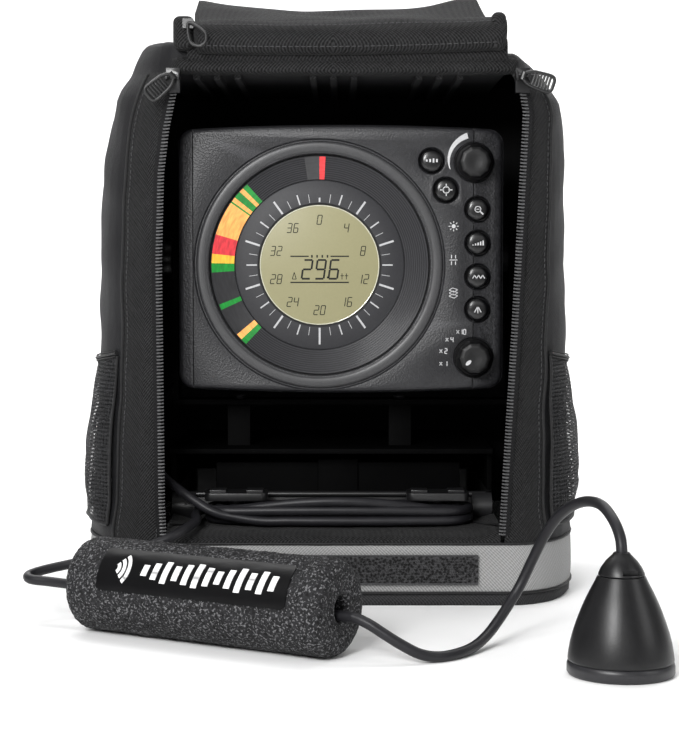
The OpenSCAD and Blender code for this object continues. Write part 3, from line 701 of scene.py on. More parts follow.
def outline(z, closed=0):
    """The case's outline at height z, from the opening's left edge round the back to its right edge.
    closed adds that many points across the front. Sides and back belly out a little."""
    wl, wr = along(LEFT_W, z), along(RIGHT_W, z)
    tuck = 7 * smooth((z - 285) / 36) ** 2
    y0, y1 = FRONT_Y + tuck, BACK_Y - 2 - tuck
    deep, rb = CORNER_DEEP, CORNER_BACK
    xl, xr = along(LEFT_EDGE, z), along(RIGHT_EDGE, z)
    # the front corners are no wider than the gussets beside the opening
    rl, rr = (min(CORNER_WIDE, max(gap + 6, 14)) for gap in (wl + xl, wr - xr))
    xl = max(xl, -wl + rl * 0.35)
    xr = min(xr, wr - rr * 0.35)
    full = []

    def straight(a, b, n, belly):
        normal = Vector((b[1] - a[1], a[0] - b[0])).normalized()
        for i in range(n):
            t = i / n
            p = Vector(a).lerp(Vector(b), t) + normal * belly * math.sin(math.pi * t)
            full.append((p.x, p.y))

    def corner(cx, cy, rx, ry, a0, a1, n):
        for i in range(n):
            a = math.radians(mix(a0, a1, i / n))
            full.append((cx + rx * math.cos(a), cy + ry * math.sin(a)))

    # where the opening's edge lies past the start of the round corner, it lies on the corner
    lean_l = math.degrees(math.asin(min(max((-xl - (wl - rl)) / rl, 0), 0.9)))
    lean_r = math.degrees(math.asin(min(max((xr - (wr - rr)) / rr, 0), 0.9)))
    cl, cr = (-wl + rl, y0 + deep), (wr - rr, y0 + deep)
    start = (cl[0] - rl * math.sin(math.radians(lean_l)), cl[1] - deep * math.cos(math.radians(lean_l)))
    end = (cr[0] + rr * math.sin(math.radians(lean_r)), cr[1] - deep * math.cos(math.radians(lean_r)))
    first = (xl, y0) if lean_l == 0 else start
    last = (xr, y0) if lean_r == 0 else end
    straight(first, start, PARTS[0], 0)
    corner(*cl, rl, deep, 270 - lean_l, 180, PARTS[1])
    straight((-wl, y0 + deep), (-wl, y1 - rb), PARTS[2], -2.5)
    corner(-wl + rb, y1 - rb, rb, rb, 180, 90, PARTS[3])
    straight((-wl + rb, y1), (wr - rb, y1), PARTS[4], -2.0)
    corner(wr - rb, y1 - rb, rb, rb, 90, 0, PARTS[5])
    straight((wr, y1 - rb), (wr, y0 + deep), PARTS[6], -2.5)
    corner(*cr, rr, deep, 0, -90 + lean_r, PARTS[7])
    straight(end, last, PARTS[8], 0)
    full.append(last)
    for i in range(1, closed):
        full.append((mix(last[0], first[0], i / closed), mix(last[1], first[1], i / closed)))
    return full


def sag(p, amount=1.0):
    """Cloth's own unevenness: soft swells, and a few slanted folds near the foot and the shoulders."""
    x, y, z = p
    push = 1.3 * bumpy(p, 55, 3.1) + 0.6 * bumpy(p, 19, 7.7)
    fold = math.sin((z + 0.7 * abs(y) + 9 * bumpy(p, 40, 1.3)) / 7.5)
    push += 0.9 * fold * (0.35 + smooth((95 - z) / 70) * 0.8 + smooth((z - 262) / 40) * 0.6)
    middle = Vector((0, 0, z))
    out = (Vector(p) - middle).normalized()
    return Vector(p) + out * push * amount


WOVEN, SMOOTH, LINER = 0, 1, 2
WALL = 2.6
SEAM_L = PARTS[0] + 3
SEAM_R = sum(PARTS) - PARTS[8] - 3
BACK_L, BACK_R = sum(PARTS[:3]) + 3, sum(PARTS[:6]) - 3
COLUMNS = sum(PARTS) + 1


def cloth_kind(j):
    """Woven gussets beside the opening and a woven back; smooth sides."""
    return SMOOTH if SEAM_L <= j < BACK_L or BACK_R <= j < SEAM_R else WOVEN


def lined(obj):
    """Gives the case's cloth its padding, with the liner inside."""
    thicken(obj, WALL, 50, offset=-1, material_offset=LINER, material_offset_rim=0)


def make_case():
    heights = steps(BAND_TOP, HEADER_Z, 84)
    rows = [[sag((x, y, z)) for x, y in outline(z)] for z in heights]
    body = Form().grid(rows, pick=lambda i, j: cloth_kind(j))
    wall = body.make("case_wall", [M["cordura"], M["nylon"], M["liner"]], "root", "case_fabric",
                     ["back_panel", "side_panel_left", "side_panel_right", "gusset_left", "gusset_right"],
                     sharp=60)
    outward(wall)
    lined(wall)

    # top: shoulders, then a crowned lid
    closed = 24
    rings = [outline(z, closed) for z in steps(HEADER_Z, CROWN_Z, 9)]

    def lifted(p):
        """The left shoulder stands up over the zip's end."""
        rise = 11 * math.exp(-((p.x + 114) / 26) ** 2) * smooth((20 - p.y) / 60) * smooth((p.z - HEADER_Z) / 10)
        return Vector((p.x, p.y, p.z + rise))

    rows = [[lifted(sag((x, y, z))) for x, y in ring] for ring, z in zip(rings, steps(HEADER_Z, CROWN_Z, 9))]
    last = rings[-1]
    for s in (0.97, 0.93, 0.87, 0.78, 0.66, 0.5, 0.34, 0.18, 0.06):
        rise = CROWN_Z + 1.5 * math.sin(math.pi * min(1, (1 - s) * 3) / 2) - 4.0 * smooth((0.9 - s) / 0.6)
        rows.append([lifted(Vector((x * s, y * s, rise + 0.8 * bumpy((x * s, y * s, 0), 40, 2.0)))) for x,
                     y in last])
    n = len(rows[0])
    top = Form().grid(rows, close=True, pick=lambda i, j: cloth_kind(j) if i < 9 and j < COLUMNS else WOVEN)
    top.add(rows[-1], [list(range(n))], WOVEN)
    lid = top.make("case_top", [M["nylon"], M["nylon"], M["liner"]], "root", "case_fabric", ["top_panel"],
                   sharp=60)
    outward(lid)
    lined(lid)

    # header roll over the opening
    section = [(-96.3, 313.5), (-95.3, 309.6), (-90, 308), (-85, 309.6), (-83.5, 313.5), (-85, 316.8),
               (-90, 317.8),
               (-95, 317)]
    loop = curve_through([(0, y, z) for y, z in section], 4, closed=True)
    rows = []
    for x in steps(-93, 106, 60):
        end = smooth(min(x + 93, 106 - x) / 4)
        c = Vector((0, -91, 313.2))
        row = []
        for p in loop:
            q = c + (p - c) * mix(0.72, 1, end)
            wave = 0.5 * bumpy((x, p.y, p.z), 14, 4.0)
            row.append((x, q.y + wave, q.z + wave - 0.8 * math.sin(math.pi * (x + 93) / 199)))
        rows.append(row)
    roll = Form().grid(rows, close=True, cap=True).make("header_roll", M["cordura"], "root", "case_fabric",
                                                        sharp=70)


def outward(obj):
    """Turns the faces to look away from the case's middle."""
    bm = bmesh.new()
    bm.from_mesh(obj.data)
    total = sum((f.calc_center_median() - Vector((0, 0, 0.17))).normalized().dot(f.normal) for f in bm.faces)
    if total < 0:
        bmesh.ops.reverse_faces(bm, faces=bm.faces)
    bm.to_mesh(obj.data)
    bm.free()


def surface(j, z, out=0.0):
    """A point on the case's outside, at column j and height z, moved outwards."""
    ring = outline(z)
    i = min(int(j), len(ring) - 2)
    f = j - i
    p = sag((mix(ring[i][0], ring[i + 1][0], f), mix(ring[i][1], ring[i + 1][1], f), z))
    a, b = Vector(ring[i]), Vector(ring[min(i + 1, len(ring) - 1)])
    normal = Vector((-(b.y - a.y), b.x - a.x, 0))
    if normal.dot(Vector((p.x, p.y, 0))) < 0:
        normal = -normal
    return p + normal.normalized() * out if normal.length > 1e-6 else p


def stitch(form, a, b, rise):
    """One stitch of thread from a to b, raised in the middle."""
    form.tube([a, a.lerp(b, 0.5) + rise, b], 0.28, 6)


def make_seams():
    """Welts where the gussets meet the sides and the sides meet the back, with rows of stitches."""
    form = Form()
    for j in (SEAM_L, SEAM_R, BACK_L, BACK_R):
        form.tube([surface(j, z, 0.3) for z in steps(BAND_TOP + 1, HEADER_Z - 1, 90)], 1.0, 8)
    form.make("seam_welts", M["piping"], "root", "case_fabric")
    stitches = Form()
    for j, side in ((SEAM_L - 0.45, 1), (SEAM_R + 0.45, 1), (2.6, 1), (COLUMNS - 3.6, 1)):
        z = BAND_TOP + 4
        while z < HEADER_Z - 12:
            a, b = surface(j, z, 0.25), surface(j, z + 2.2, 0.25)
            stitch(stitches, a, b, (a - Vector((0, 0, a.z))).normalized() * 0.25)
            z += 3.4
    stitches.make("gusset_stitches", M["thread"], "root", "case_fabric")


def make_foot():
    # base, grey band, and the ridge between them
    def ring(z, out, closed=30):
        pts = []
        for x, y in outline(max(z, 30), closed):
            d = Vector((x, y, 0)).normalized()
            pts.append(Vector((x, y, z)) + d * (out + 0.5 * bumpy((x, y, z), 30, 5.0)))
        return pts

    profile = [(0.0, -3.0), (0.0, -1.0), (1.5, 0.2), (4.5, 0.4), (7.4, -0.2), (8.2, -1.2)]
    rows = [ring(z, out) for z, out in profile]
    for z_row in rows[:2]:
        for p in z_row:
            p.z = 0.0
    base = Form().grid(rows, close=True)
    n = len(rows[0])
    base.add(rows[0], [list(range(n))[::-1]]).add(rows[-1], [list(range(n))])
    base.make("base_cover", M["base_cloth"], "root", "case_base", ["base_panel"], sharp=60)
    profile = [(6.8, -0.6), (7.6, 0.5), (10, 1.0), (16, 1.3), (24, 1.2), (31, 0.9), (34.5, 0.6),
               (36.4, -0.2), (36.6, -2.0)]
    rows = [ring(z, out) for z, out in profile]
    inner = [ring(z, -3.0) for z in (36.6, 6.8)]
    band = Form().grid(rows + inner + [rows[0]], close=True)
    band.make("grey_band", M["grey_band"], "root", "band_fabric", ["trim_band"], sharp=60)
    hem = Form()
    for z, out in ((36.3, 0.5), (7.6, 0.9)):
        hem.tube(ring(z, out, 40), 0.85, 8, closed=True)
    hem.make("band_welts", M["piping"], "root", "case_base")
    # hook strip: a woven backing with rows of little hooks
    low, high = edges("hook_strip")
    y = FRONT_Y - 2.0
    strip = Form().block((low[0], y - 0.9, low[2]), (high[0], y + 1.2, high[2]))
    pitch = 1.45
    nx, nz = int((high[0] - low[0] - 2) / pitch), int((high[2] - low[2] - 2) / pitch)
    for i in range(nx):
        for k in range(nz):
            x = low[0] + 1.5 + i * pitch + 0.5 * (k % 2)
            z = low[2] + 1.5 + k * pitch
            lean = 0.35 * noise.cell(Vector((x, z, 0.5)))
            strip.add([(x - 0.42, y - 0.85, z - 0.42), (x + 0.42, y - 0.85, z - 0.42),
                       (x + 0.42, y - 0.85, z + 0.42),
                       (x - 0.42, y - 0.85, z + 0.42), (x + lean, y - 1.8, z + 0.2)],
                      [[0, 1, 4], [1, 2, 4], [2, 3, 4], [3, 0, 4]])
    strip.make("hook_strip_woven", M["hook"], "root", "band_fabric", ["hook_strip"])
    edge = Form()
    edge.tube([(x, y - 0.9, high[2] - 0.2) for x in steps(low[0], high[0], 20)], 0.5, 6)
    edge.tube([(x, y - 0.9, low[2] + 0.2) for x in steps(low[0], high[0], 20)], 0.5, 6)
    edge.make("hook_strip_stitching", M["thread"], "root", "band_fabric")


def make_sill():
    """The woven shelf inside the opening's foot, with mitred folds at both ends."""
    low, high = edges("front_sill")
    section = [(-100.5, 35.5), (-101, 38.5), (-99.5, 40.6), (-92, 43.2), (-80, 44.2), (-62, 44.3),
               (-44, 44.3),
               (-44, 36.5), (-95, 36)]
    rows = []
    for x in steps(low[0], high[0], 70):
        rise = 3.2 * smooth((abs(x) - 84) / 14)
        rows.append([(x, y, z + (rise if z > 40 else 0) + 0.45 * bumpy((x, y, z), 15, 6.0)) for y,
                     z in section])
    Form().grid(rows, close=True, cap=True).make("sill_cloth", M["cordura"], "root", "case_fabric",
                                                 ["front_sill"],
                                                 sharp=60)
    folds = Form()
    for s, x1, x0 in ((-1, low[0] + 1, low[0] + 14), (1, high[0] - 1, high[0] - 14)):
        folds.tube([(mix(x0, x1, t), mix(-66, -99, t),
                     44.9 + 2.6 * smooth((t - 0.4) / 0.6)) for t in steps(0, 1, 10)],
                   0.7, 6)
    folds.make("sill_mitres", M["piping"], "root", "case_fabric")


def make_pockets():
    """Netting pockets with an elastic hem, one on each side."""
    for side, j0, j1 in (("left", SEAM_L + 0.5, sum(PARTS[:3]) - 1),
                         ("right", sum(PARTS[:6]) + 1, SEAM_R - 0.5)):
        rows = []
        for t in steps(0, 1, 22):
            row = []
            for k in steps(0, 1, 26):
                hem = 139 + 6 * abs(2 * k - 1) ** 2 - 2.5 * math.sin(math.pi * k)
                z = mix(46, hem, t)
                round_off = math.sin(math.pi * mix(0.03, 0.97, k)) ** 0.5
                puff = along([(0, 3), (0.18, 7), (0.35, 8), (0.6, 6.8), (0.8, 4), (1, 0.4)], t) * round_off
                puff += 1.5 * bumpy((j0, 60 * k, z), 17, 8.0) * math.sin(math.pi * k) * (1.05 - t)
                row.append(surface(mix(j0, j1, k), z, max(0.4, 0.6 + puff)))
            rows.append(row)
        net_piece = Form().grid(rows).make("pocket_net_" + side, M["netting"], "root", "pocket_mesh",
                                           ["mesh_pockets"], sharp=70)
        thicken(net_piece, 0.5, 60)
        hem_path = [p + Vector((0, 0, 1.5)) for p in rows[-1]]
        hem_form = Form().tube(hem_path, 2.2, 8, flat=0.45)
        for strand in (-1.2, 0.4, 2.0):
            hem_form.tube([p + Vector((math.copysign(1.0, p.x), 0, strand - 0.5)) for p in hem_path], 0.5, 6)
        hem_form.tube(rows[0], 1.1, 8)
        for k in (0, -1):
            hem_form.tube([row[k] for row in rows], 0.9, 8)
        hem_form.make("pocket_hem_" + side, M["piping"], "root", "pocket_mesh")


def zip_line(side, z):
    """Where the zip's teeth run: x and y at height z."""
    ring = outline(z)
    return (ring[0] if side < 0 else ring[-1])


def make_zip():
    teeth, tape = Form(), Form()
    for side in (-1, 1):
        rows = []
        for z in steps(41, 307, 90):
            x, y = zip_line(side, z)
            rows.append([(x - side * 1.5, y - 0.9, z), (x + side * 0.6, y - 1.3, z),
                         (x + side * 2.6, y - 0.9, z)])
        tape.grid(rows)
        z = 42.0
        while z < 304:
            x, y = zip_line(side, z)
            c = x - side * 1.6
            # each tooth is a small bent loop of the coil
            path = [(c + side * 2.0, y - 0.9, z - 0.15), (c, y - 1.25, z - 0.1),
                    (c - side * 1.6, y - 1.0, z + 0.1),
                    (c - side * 1.4, y - 0.6, z + 0.2)]
            teeth.tube(path, 0.5, 6)
            z += 1.95
    strip = tape.make("zip_tape", M["tape"], "root", "zip", ["zipper_tapes"], ride=True)
    thicken(strip, 0.8)
    teeth.make("zip_teeth", M["teeth"], "root", "zip")


def make_sliders():
    for side, name in ((-1, "left"), (1, "right")):
        slider, pull = "slider_" + name, "pull_" + name
        softened(slider, M["zip_metal"], slider, "zip_metal", 0.7)
        c = centre(slider)
        pin = (c[0], edges(slider)[0][1] + 1.9, edges(slider)[0][2] + 9)
        # a moulded frame that swings on the slider's eye
        lean = math.radians(50 if side < 0 else 72)
        down = Vector((side * math.sin(lean), 0, -math.cos(lean)))
        across = Vector((math.cos(lean), 0, side * math.sin(lean)))

        def at(d, w):
            return Vector(pin) + down * d + across * w + Vector((0, -1.4 - 0.06 * d, 0))

        frame_path = [(0.5, -1.6), (4.5, -3.9), (9, -4.5), (15, -4.7), (17.2, -3.4), (17.6, 0), (17.2, 3.4),
                      (15, 4.7),
                      (9, 4.5), (4.5, 3.9), (0.5, 1.6)]
        form = Form().tube(curve_through([at(d, w) for d, w in frame_path], 4, closed=True), 1.05, 10,
                           closed=True)
        # ribs across the frame, and the sleeve round the eye
        for d in steps(6, 15, 5):
            form.tube([at(d, w) for w in (-4.2, 0, 4.2)], 0.75, 8)
        form.tube([Vector(pin) + across * w + Vector((0, -1.2, 0)) for w in (-2.2, 0, 2.2)], 1.7, 10)
        form.make("pull_loop_" + name, M["pull_rubber"], pull, "pull_cord", [pull])


make_case()
make_seams()
make_foot()
make_sill()
make_pockets()
make_zip()
make_sliders()


# ---------- the flap, folded on top ----------
def lofted(name, section, x0, x1, shape, mats, body, slot, replaces, pick=None, n=70):
    """A padded panel: a closed section carried from x0 to x1, with round ends."""
    loop = curve_through([(0, y, z) for y, z in section], 5, closed=True)
    c = sum(loop, Vector()) / len(loop)
    rows = []
    for x in steps(0, 1, n):
        # round ends: the section shrinks over the last few millimetres
        xx = mix(x0, x1, x)
        gap = min(xx - x0, x1 - xx)
        k = math.sqrt(max(0.0, 1 - (1 - min(gap / 4.0, 1)) ** 2))
        row = []
        for p in loop:
            q = Vector((xx, mix(c.y, p.y, mix(0.965, 1, k)), mix(p.z, c.z, 0.35 * (1 - k))))
            row.append(shape(q))
        rows.append(row)
    return Form().grid(rows, close=True, cap=True, pick=pick).make(name, mats, body, slot, replaces, sharp=75)


def make_flap():
    low, high = edges("flap_upper")
    y0, y1, z0, z1 = low[1], high[1], low[2], high[2]
    section = [(y0 + 0.5, z0 + 2), (y0 + 3, z0 + 0.2), (-60, z0 + 0.1), (-20, z0 + 0.1), (y1 - 3, z0 + 0.2),
               (y1, z0 + 3),
               (y1, z1 - 3), (y1 - 3, z1), (-20, z1), (-60, z1), (y0 + 4, z1), (y0 + 0.5, z1 - 2)]
    upper = lofted("flap_upper_padded", section, low[0], high[0], lambda p: p, [M["nylon"]], "flap_upper",
                   "case_fabric", ["flap_upper"])

    low, high = edges("flap_lower")
    section = [(30, 330), (31.5, 344), (26, 356), (10, 360), (-14, 353.5), (-48, 344), (-76, 339.5),
               (-92, 340.3),
               (-102, 338), (-107.5, 332), (-107.5, 325.5), (-104, 320.8), (-99.5, 320), (-98, 323.5),
               (-94, 328.6),
               (-60, 328.6), (-20, 328.6), (10, 328.6)]
    x0, x1 = low[0] - 0.5, high[0] + 3

    def shape(p):
        s = (p.x - x0) / (x1 - x0)
        back = smooth((p.z - 335) / 22) * smooth((p.y + 60) / 60)
        # the fold at the back stands up at its ends and dips between
        p.z += back * (7.5 * (smooth(abs(2 * s - 0.95) ** 1.6) - 0.35))
        top = smooth((p.z - 333) / 8)
        crease = math.sin((p.y + 0.25 * p.x) / 8.5 + 3 * bumpy(p, 60, 9.0))
        p.z += top * (1.5 * bumpy(p, 34, 5.5) + 0.55 * crease)
        p.y += 0.8 * bumpy(p, 30, 2.2)
        # the left edge runs in towards the front, and the right one in towards the back
        deep = smooth((p.y + 95) / 120)
        p.x += mix(4, -4.5, deep) * smooth((-30 - p.x) / 40) + mix(1, -7, deep) * smooth((p.x - 50) / 40)
        # the hemmed end droops a little to the left
        if p.y < -88:
            p.z += -1.3 + 2.2 * s - 1.6 * math.sin(math.pi * s)
        return p

    # columns past this one are the underside
    last_top = 73

    def pick(i, j):
        return 0 if j <= last_top else 1

    lower = lofted("flap_lower_padded", section, x0, x1, shape, [M["cordura"], M["nylon"]], "flap_lower",
                   "case_fabric", ["flap_lower"], pick)
    # the flap's side wings, rolled up at both ends of the hem
    for name, a, b in (("left", (-91.6, -104.5, 321), (-79.5, -87, 340)),
                       ("right", (90, -106.5, 320.5), (98.6, -87, 342))):
        wing = Form().block(a, b).make("flap_wing_" + name, M["cordura"], "flap_lower", "case_fabric")
        bevelled(wing, 3.8, 5)
    # stitched hem over the rolled end
    hem = Form()
    for y, z in ((-104.6, 336.2), (-106.2, 323.6)):
        x = x0 + 4
        while x < x1 - 5:
            a = shape(Vector((x, y, z))) + Vector((0, -0.7, 0.3))
            b = shape(Vector((x + 2.4, y, z))) + Vector((0, -0.7, 0.3))
            stitch(hem, a, b, Vector((0, -0.25, 0)))
            x += 3.6
    hem.make("flap_hem_stitches", M["thread"], "flap_lower", "case_fabric")

    # hinge cloth between the header and the flap
    rows = []
    for x in steps(-84, 100, 40):
        path = [(-93.5, 314), (-97.3, 315.5), (-98.0, 318.5), (-98.2, 322), (-97.4, 325), (-94.5, 327.4),
                (-90, 327.5)]
        rows.append([(x, y + 0.25 * bumpy((x, y, z), 12, 3.0), z) for y, z in path])
    cloth = Form().grid(rows).make("flap_hinge_cloth", M["cordura"], "root", "case_fabric", ride=False,
                                   sharp=70)
    thicken(cloth, 0.8, 60, offset=0)
    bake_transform(cloth)
    # a pull on the left end of the rolled hem
    z_end = (x0 - 0.5, -103, 335)
    loop = []
    for d, w in ((0, 0), (3, 2.2), (8, 4.2), (12, 4.6), (15.5, 2.2), (16, 0), (15.5, -2.2), (12, -4.6),
                 (8, -4.2),
                 (3, -2.2)):
        loop.append(Vector(z_end) + Vector((0.45, -0.28, -0.72)).normalized() * d + Vector((0.8, 0.0,
                0.5)).normalized() * w
                    + Vector((2, -6.5, 0)))
    tab = Form().tube(curve_through(loop, 4, closed=True), 1.0, 10, closed=True)
    tab.block((x0 - 2, -109.5, 332), (x0 + 4, -105.5, 337.5))
    obj = tab.make("flap_pull", M["pull_rubber"], "flap_lower", "pull_cord")
    bevelled(obj, 0.6)


make_flap()


# ---------- inside the case ----------
def make_inside():
    # the deck, bracket, battery and strap take the near-black interior material, which is painted shade
    for node, look, slot, width in (
            ("tray", "tray", "tray_plastic", 1.2), ("deck", "inner_painted_shade", "tray_plastic", 0.8),
            ("gimbal_bracket", "inner_painted_shade", "tray_plastic", 0.8),
                                    ("battery", "inner_painted_shade", "battery_case", 1.2),
            ("battery_strap", "inner_painted_shade", "strap_web", 0.6),
                                    ("ceiling_board", "base_cloth", "case_base", 0.5),
            ("cord_cleats", "tray", "tray_plastic", 1.0)):
        softened(node, M[look], "root", slot, width)
    # a bright-edged rail along the front of the tray
    low, high = edges("tray")
    rail = Form().tube([(x, low[1] - 0.2, high[2] - 1.6) for x in steps(low[0] + 4, high[0] - 4, 30)], 1.9,
                       12)
    for x in (low[0] + 6, high[0] - 6):
        rail.block((x - 2.2, low[1] - 1.6, 45), (x + 2.2, low[1] + 1, high[2] - 1))
    bevelled(rail.make("tray_rail", M["tray"], "root", "tray_plastic"), 0.5)
    # round lips at the tray's front ends; their shape takes real light, and their lighter copy of the tray
    # plastic is painted highlight
    painted_highlight_lip = Form()
    for a, b in ((-98, -84), (84, 96)):
        painted_highlight_lip.tube([(x, low[1] - 1.2, 51) for x in steps(a, b, 6)], 8.5, 32)
    painted_highlight_lip.make("tray_lip", M["painted_highlight_lip"], "root", "tray_plastic")
    ridges = Form()
    for cx in (centre("cord_cleats")[0] - 60, centre("cord_cleats")[0] + 60):
        z = edges("cord_cleats")[1][2]
        for dx in (-11, 11):
            ridges.block((cx + dx - 5, -72, z - 0.4), (cx + dx + 5, -60, z + 1.3))
    bevelled(ridges.make("cleat_ridges", M["tray"], "root", "tray_plastic"), 0.4)
    for look, nodes in (("steel", ("tray_screws", "bracket_screws", "housing_screws", "disc_motor")),
                        ("circuit", ("main_board", "led_disc", "rotary_controls")),
                        ("rubber", ("housing_seal", "button_pad", "rear_sockets"))):
        for node in nodes:
            paint(node, M[look])


def paint(node, mat):
    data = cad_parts[node].data
    if not data.materials:
        data.materials.append(mat)
    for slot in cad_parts[node].material_slots:
        slot.material = mat
    shade(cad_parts[node], 30)


make_inside()


# ---------- the head ----------
DIAL = centre("dial_window")
FACE_Y = edges("front_housing")[0][1]
HEAD_SEAMS = (-83.6, 83.1)


def radius_of(node):
    return (edges(node)[1][0] - edges(node)[0][0]) / 2


def funnel_y(t):
    """The echo window's depth, from its outer edge (t is 0) to its inner one (1)."""
    return FACE_Y + 1.9 + 3.9 * t ** 0.85


def face_outline(inset, n=10):
    """The head's outline: round corners, and top and bottom edges that bow out."""
    low, high = edges("front_housing")
    x0, x1, z0, z1 = low[0] + inset, high[0] - inset, low[2] + inset, high[2] - inset
    r, bow = 8.5 - min(inset, 5), 3.0
    mid = (x0 + x1) / 2

    def bowed(x, z, s):
        t = (x - mid) / ((x1 - x0) / 2)
        return (x, z - s * bow * t * t)

    points = []
    for cx, cz, a0, s in ((x1 - r, z0 + r, -90, -1), (x1 - r, z1 - r, 0, 1), (x0 + r, z1 - r, 90, 1),
                          (x0 + r, z0 + r, 180, -1)):
        arc = [bowed(cx + r * math.cos(math.radians(a)), cz + r * math.sin(math.radians(a)), s)
               for a in steps(a0, a0 + 90, n)]
        points += arc
        if a0 in (0, 180):
            far = x0 + r if a0 == 0 else x1 - r
            points += [bowed(mix(cx, far, t), z1 if a0 == 0 else z0, s) for t in steps(0, 1, 14)[1:-1]]
    return points


def make_housing():
    low, high = edges("front_housing")
    back = high[1]
    # a rounded slab; its rim is built from insets that follow a quarter round
    rows = []
    for inset, y in ((0, back), (-0.2, FACE_Y + 6.5), (0.1, FACE_Y + 3.4), (0.7, FACE_Y + 1.5),
                     (1.5, FACE_Y + 0.5),
                     (2.5, FACE_Y + 0.08), (3.2, FACE_Y)):
        rows.append([(x, y, z) for x, z in face_outline(inset)])
    slab = Form().grid(rows, close=True, cap=True)
    obj = slab.make("front_housing_moulded", [M["housing"], M["housing_coarse"]], "head", "head_plastic",
                    ["front_housing"])
    cutters = []
    # the hollow behind
    cutters.append(cutter(Form().grid([[(x, y, z) for x, z in face_outline(3.2)] for y in (FACE_Y + 9,
            back + 2)],
                                      close=True, cap=True)))
    # the dial's well and the groove round it
    groove = [(73.0, FACE_Y - 2), (73.0, FACE_Y + 0.7), (73.5, FACE_Y + 1.3), (74.2, FACE_Y + 1.3),
              (74.9, FACE_Y + 0.3),
              (75.4, FACE_Y - 2)]
    ring = Form()
    seg = 160
    ring_rows = [[(DIAL[0] + r * math.cos(TAU * k / seg), y,
                   DIAL[2] + r * math.sin(TAU * k / seg)) for k in range(seg)]
                 for r, y in groove + [groove[0]]]
    ring.grid(ring_rows, close=True)
    cutters.append(cutter(ring))
    well = Form().lathe([(66.2, FACE_Y - 3), (66.2, FACE_Y + 1.0), (65.6, FACE_Y + 30)],
                        (DIAL[0], 0, DIAL[2]), (0, 1, 0),
                        160)
    cutters.append(cutter(well))
    for i in range(1, 7):
        c = centre("button_%d" % i)
        cutters.append(cutter(Form().lathe([(8.6, FACE_Y - 2), (8.3, FACE_Y - 0.1), (7.55, FACE_Y + 1.3),
                                            (7.15, FACE_Y + 2), (7.15, FACE_Y + 12)], (c[0], 0, c[2]),
                                           (0, 1, 0), 48)))
    for node in ("gain_knob", "range_knob"):
        c = centre(node)
        cutters.append(cutter(Form().lathe([(12.6, FACE_Y - 2), (12.3, FACE_Y - 0.1), (11.9, FACE_Y + 1.2),
                                            (3.1, FACE_Y + 1.4), (3.1, FACE_Y + 12)], (c[0], 0, c[2]),
                                           (0, 1, 0), 56)))
    # the two seams from top to bottom
    for x in HEAD_SEAMS:
        cutters.append(cutter(Form().block((x - 0.32, FACE_Y - 3, low[2] - 5),
                                           (x + 0.32, FACE_Y + 2.2, high[2] + 5))))
    cut(obj, cutters)
    # the wings past the seams slope back, and are a coarser moulding
    for v in obj.data.vertices:
        past = max(abs(v.co.x / MM + 0.25) - 83.4, 0)
        if v.co.y / MM < FACE_Y + 4:
            v.co.y += 0.24 * past * MM
    for poly in obj.data.polygons:
        c = poly.center / MM
        poly.material_index = 1 if c.x > HEAD_SEAMS[1] or c.x < HEAD_SEAMS[0] else 0
    bevelled(obj, 0.22, 2, 38)
    settle(obj)
    shade(obj, 28)
    body = softened("rear_housing", M["housing"], "head", "head_plastic", 2.0)
    shade(body, 30)


def make_dial():
    origin, axis = (DIAL[0], 0, DIAL[2]), (0, 1, 0)
    plate_r, lcd_r, window_r = (radius_of(node) for node in ("dial_plate", "lcd_panel", "dial_window"))
    # raised rim between the groove and the window
    rim = [(73.1, FACE_Y + 1.2), (73.0, FACE_Y - 0.1), (72.5, FACE_Y - 0.5), (71.6, FACE_Y - 0.66),
           (68.4, FACE_Y - 0.5),
           (67.3, FACE_Y - 0.2), (66.7, FACE_Y + 0.4), (66.3, FACE_Y + 1.4), (65.1, FACE_Y + 3.4),
           (65.0, FACE_Y + 6),
           (72.8, FACE_Y + 6)]
    Form().lathe(rim + [rim[0]], origin, axis, 192).make("dial_rim", M["bezel"], "head", "head_plastic",
                                                         ["dial_bezel"], sharp=40)
    # window: a shallow funnel with fine turned rings
    ring_count = 17
    front = []
    for i in range(ring_count * 2 + 1):
        t = i / (ring_count * 2)
        r = mix(window_r, plate_r, t)
        front.append((r, funnel_y(t) - (0.2 if i % 2 else 0.0)))
    back = [(plate_r, FACE_Y + 7.4), (window_r, FACE_Y + 3.4)]
    Form().lathe(front + back + [front[0]], origin, axis, 192).make("echo_window", M["window"], "head",
            "window_smoke",
                                                                    ["dial_window"], sharp=60)
    # plate with a bevelled edge round the display
    y = FACE_Y + 5.2
    plate = [(plate_r - 0.1, y + 1.5), (plate_r - 0.1, y + 0.4), (plate_r - 0.8, y), (lcd_r + 1.6, y),
             (lcd_r + 0.9, y + 0.5), (lcd_r + 0.35, y + 1.6), (lcd_r + 0.2, y + 2.2)]
    Form().lathe(plate + [plate[0]], origin, axis, 192).make("scale_plate", M["plate"], "head", "scale_print",
                                                             ["dial_plate"], sharp=30)
    rim = [(lcd_r + 0.35, y + 1.5), (lcd_r + 0.1, y + 1.0), (lcd_r - 0.3, y + 1.1), (lcd_r - 0.4, y + 1.7)]
    Form().lathe(rim + [rim[0]], origin, axis, 160).make("display_rim", M["lcd_rim"], "head", "scale_print")
    glass = [(lcd_r + 0.2, y + 1.6), (lcd_r - 0.6, y + 1.45), (0.01, y + 1.45)]
    Form().lathe(glass, origin, axis, 128).make("display_glass", M["lcd"], "head", "lcd", ["lcd_panel"])
    make_scale(y, lcd_r)
    make_display(y + 1.45)
    make_echoes(window_r, plate_r)


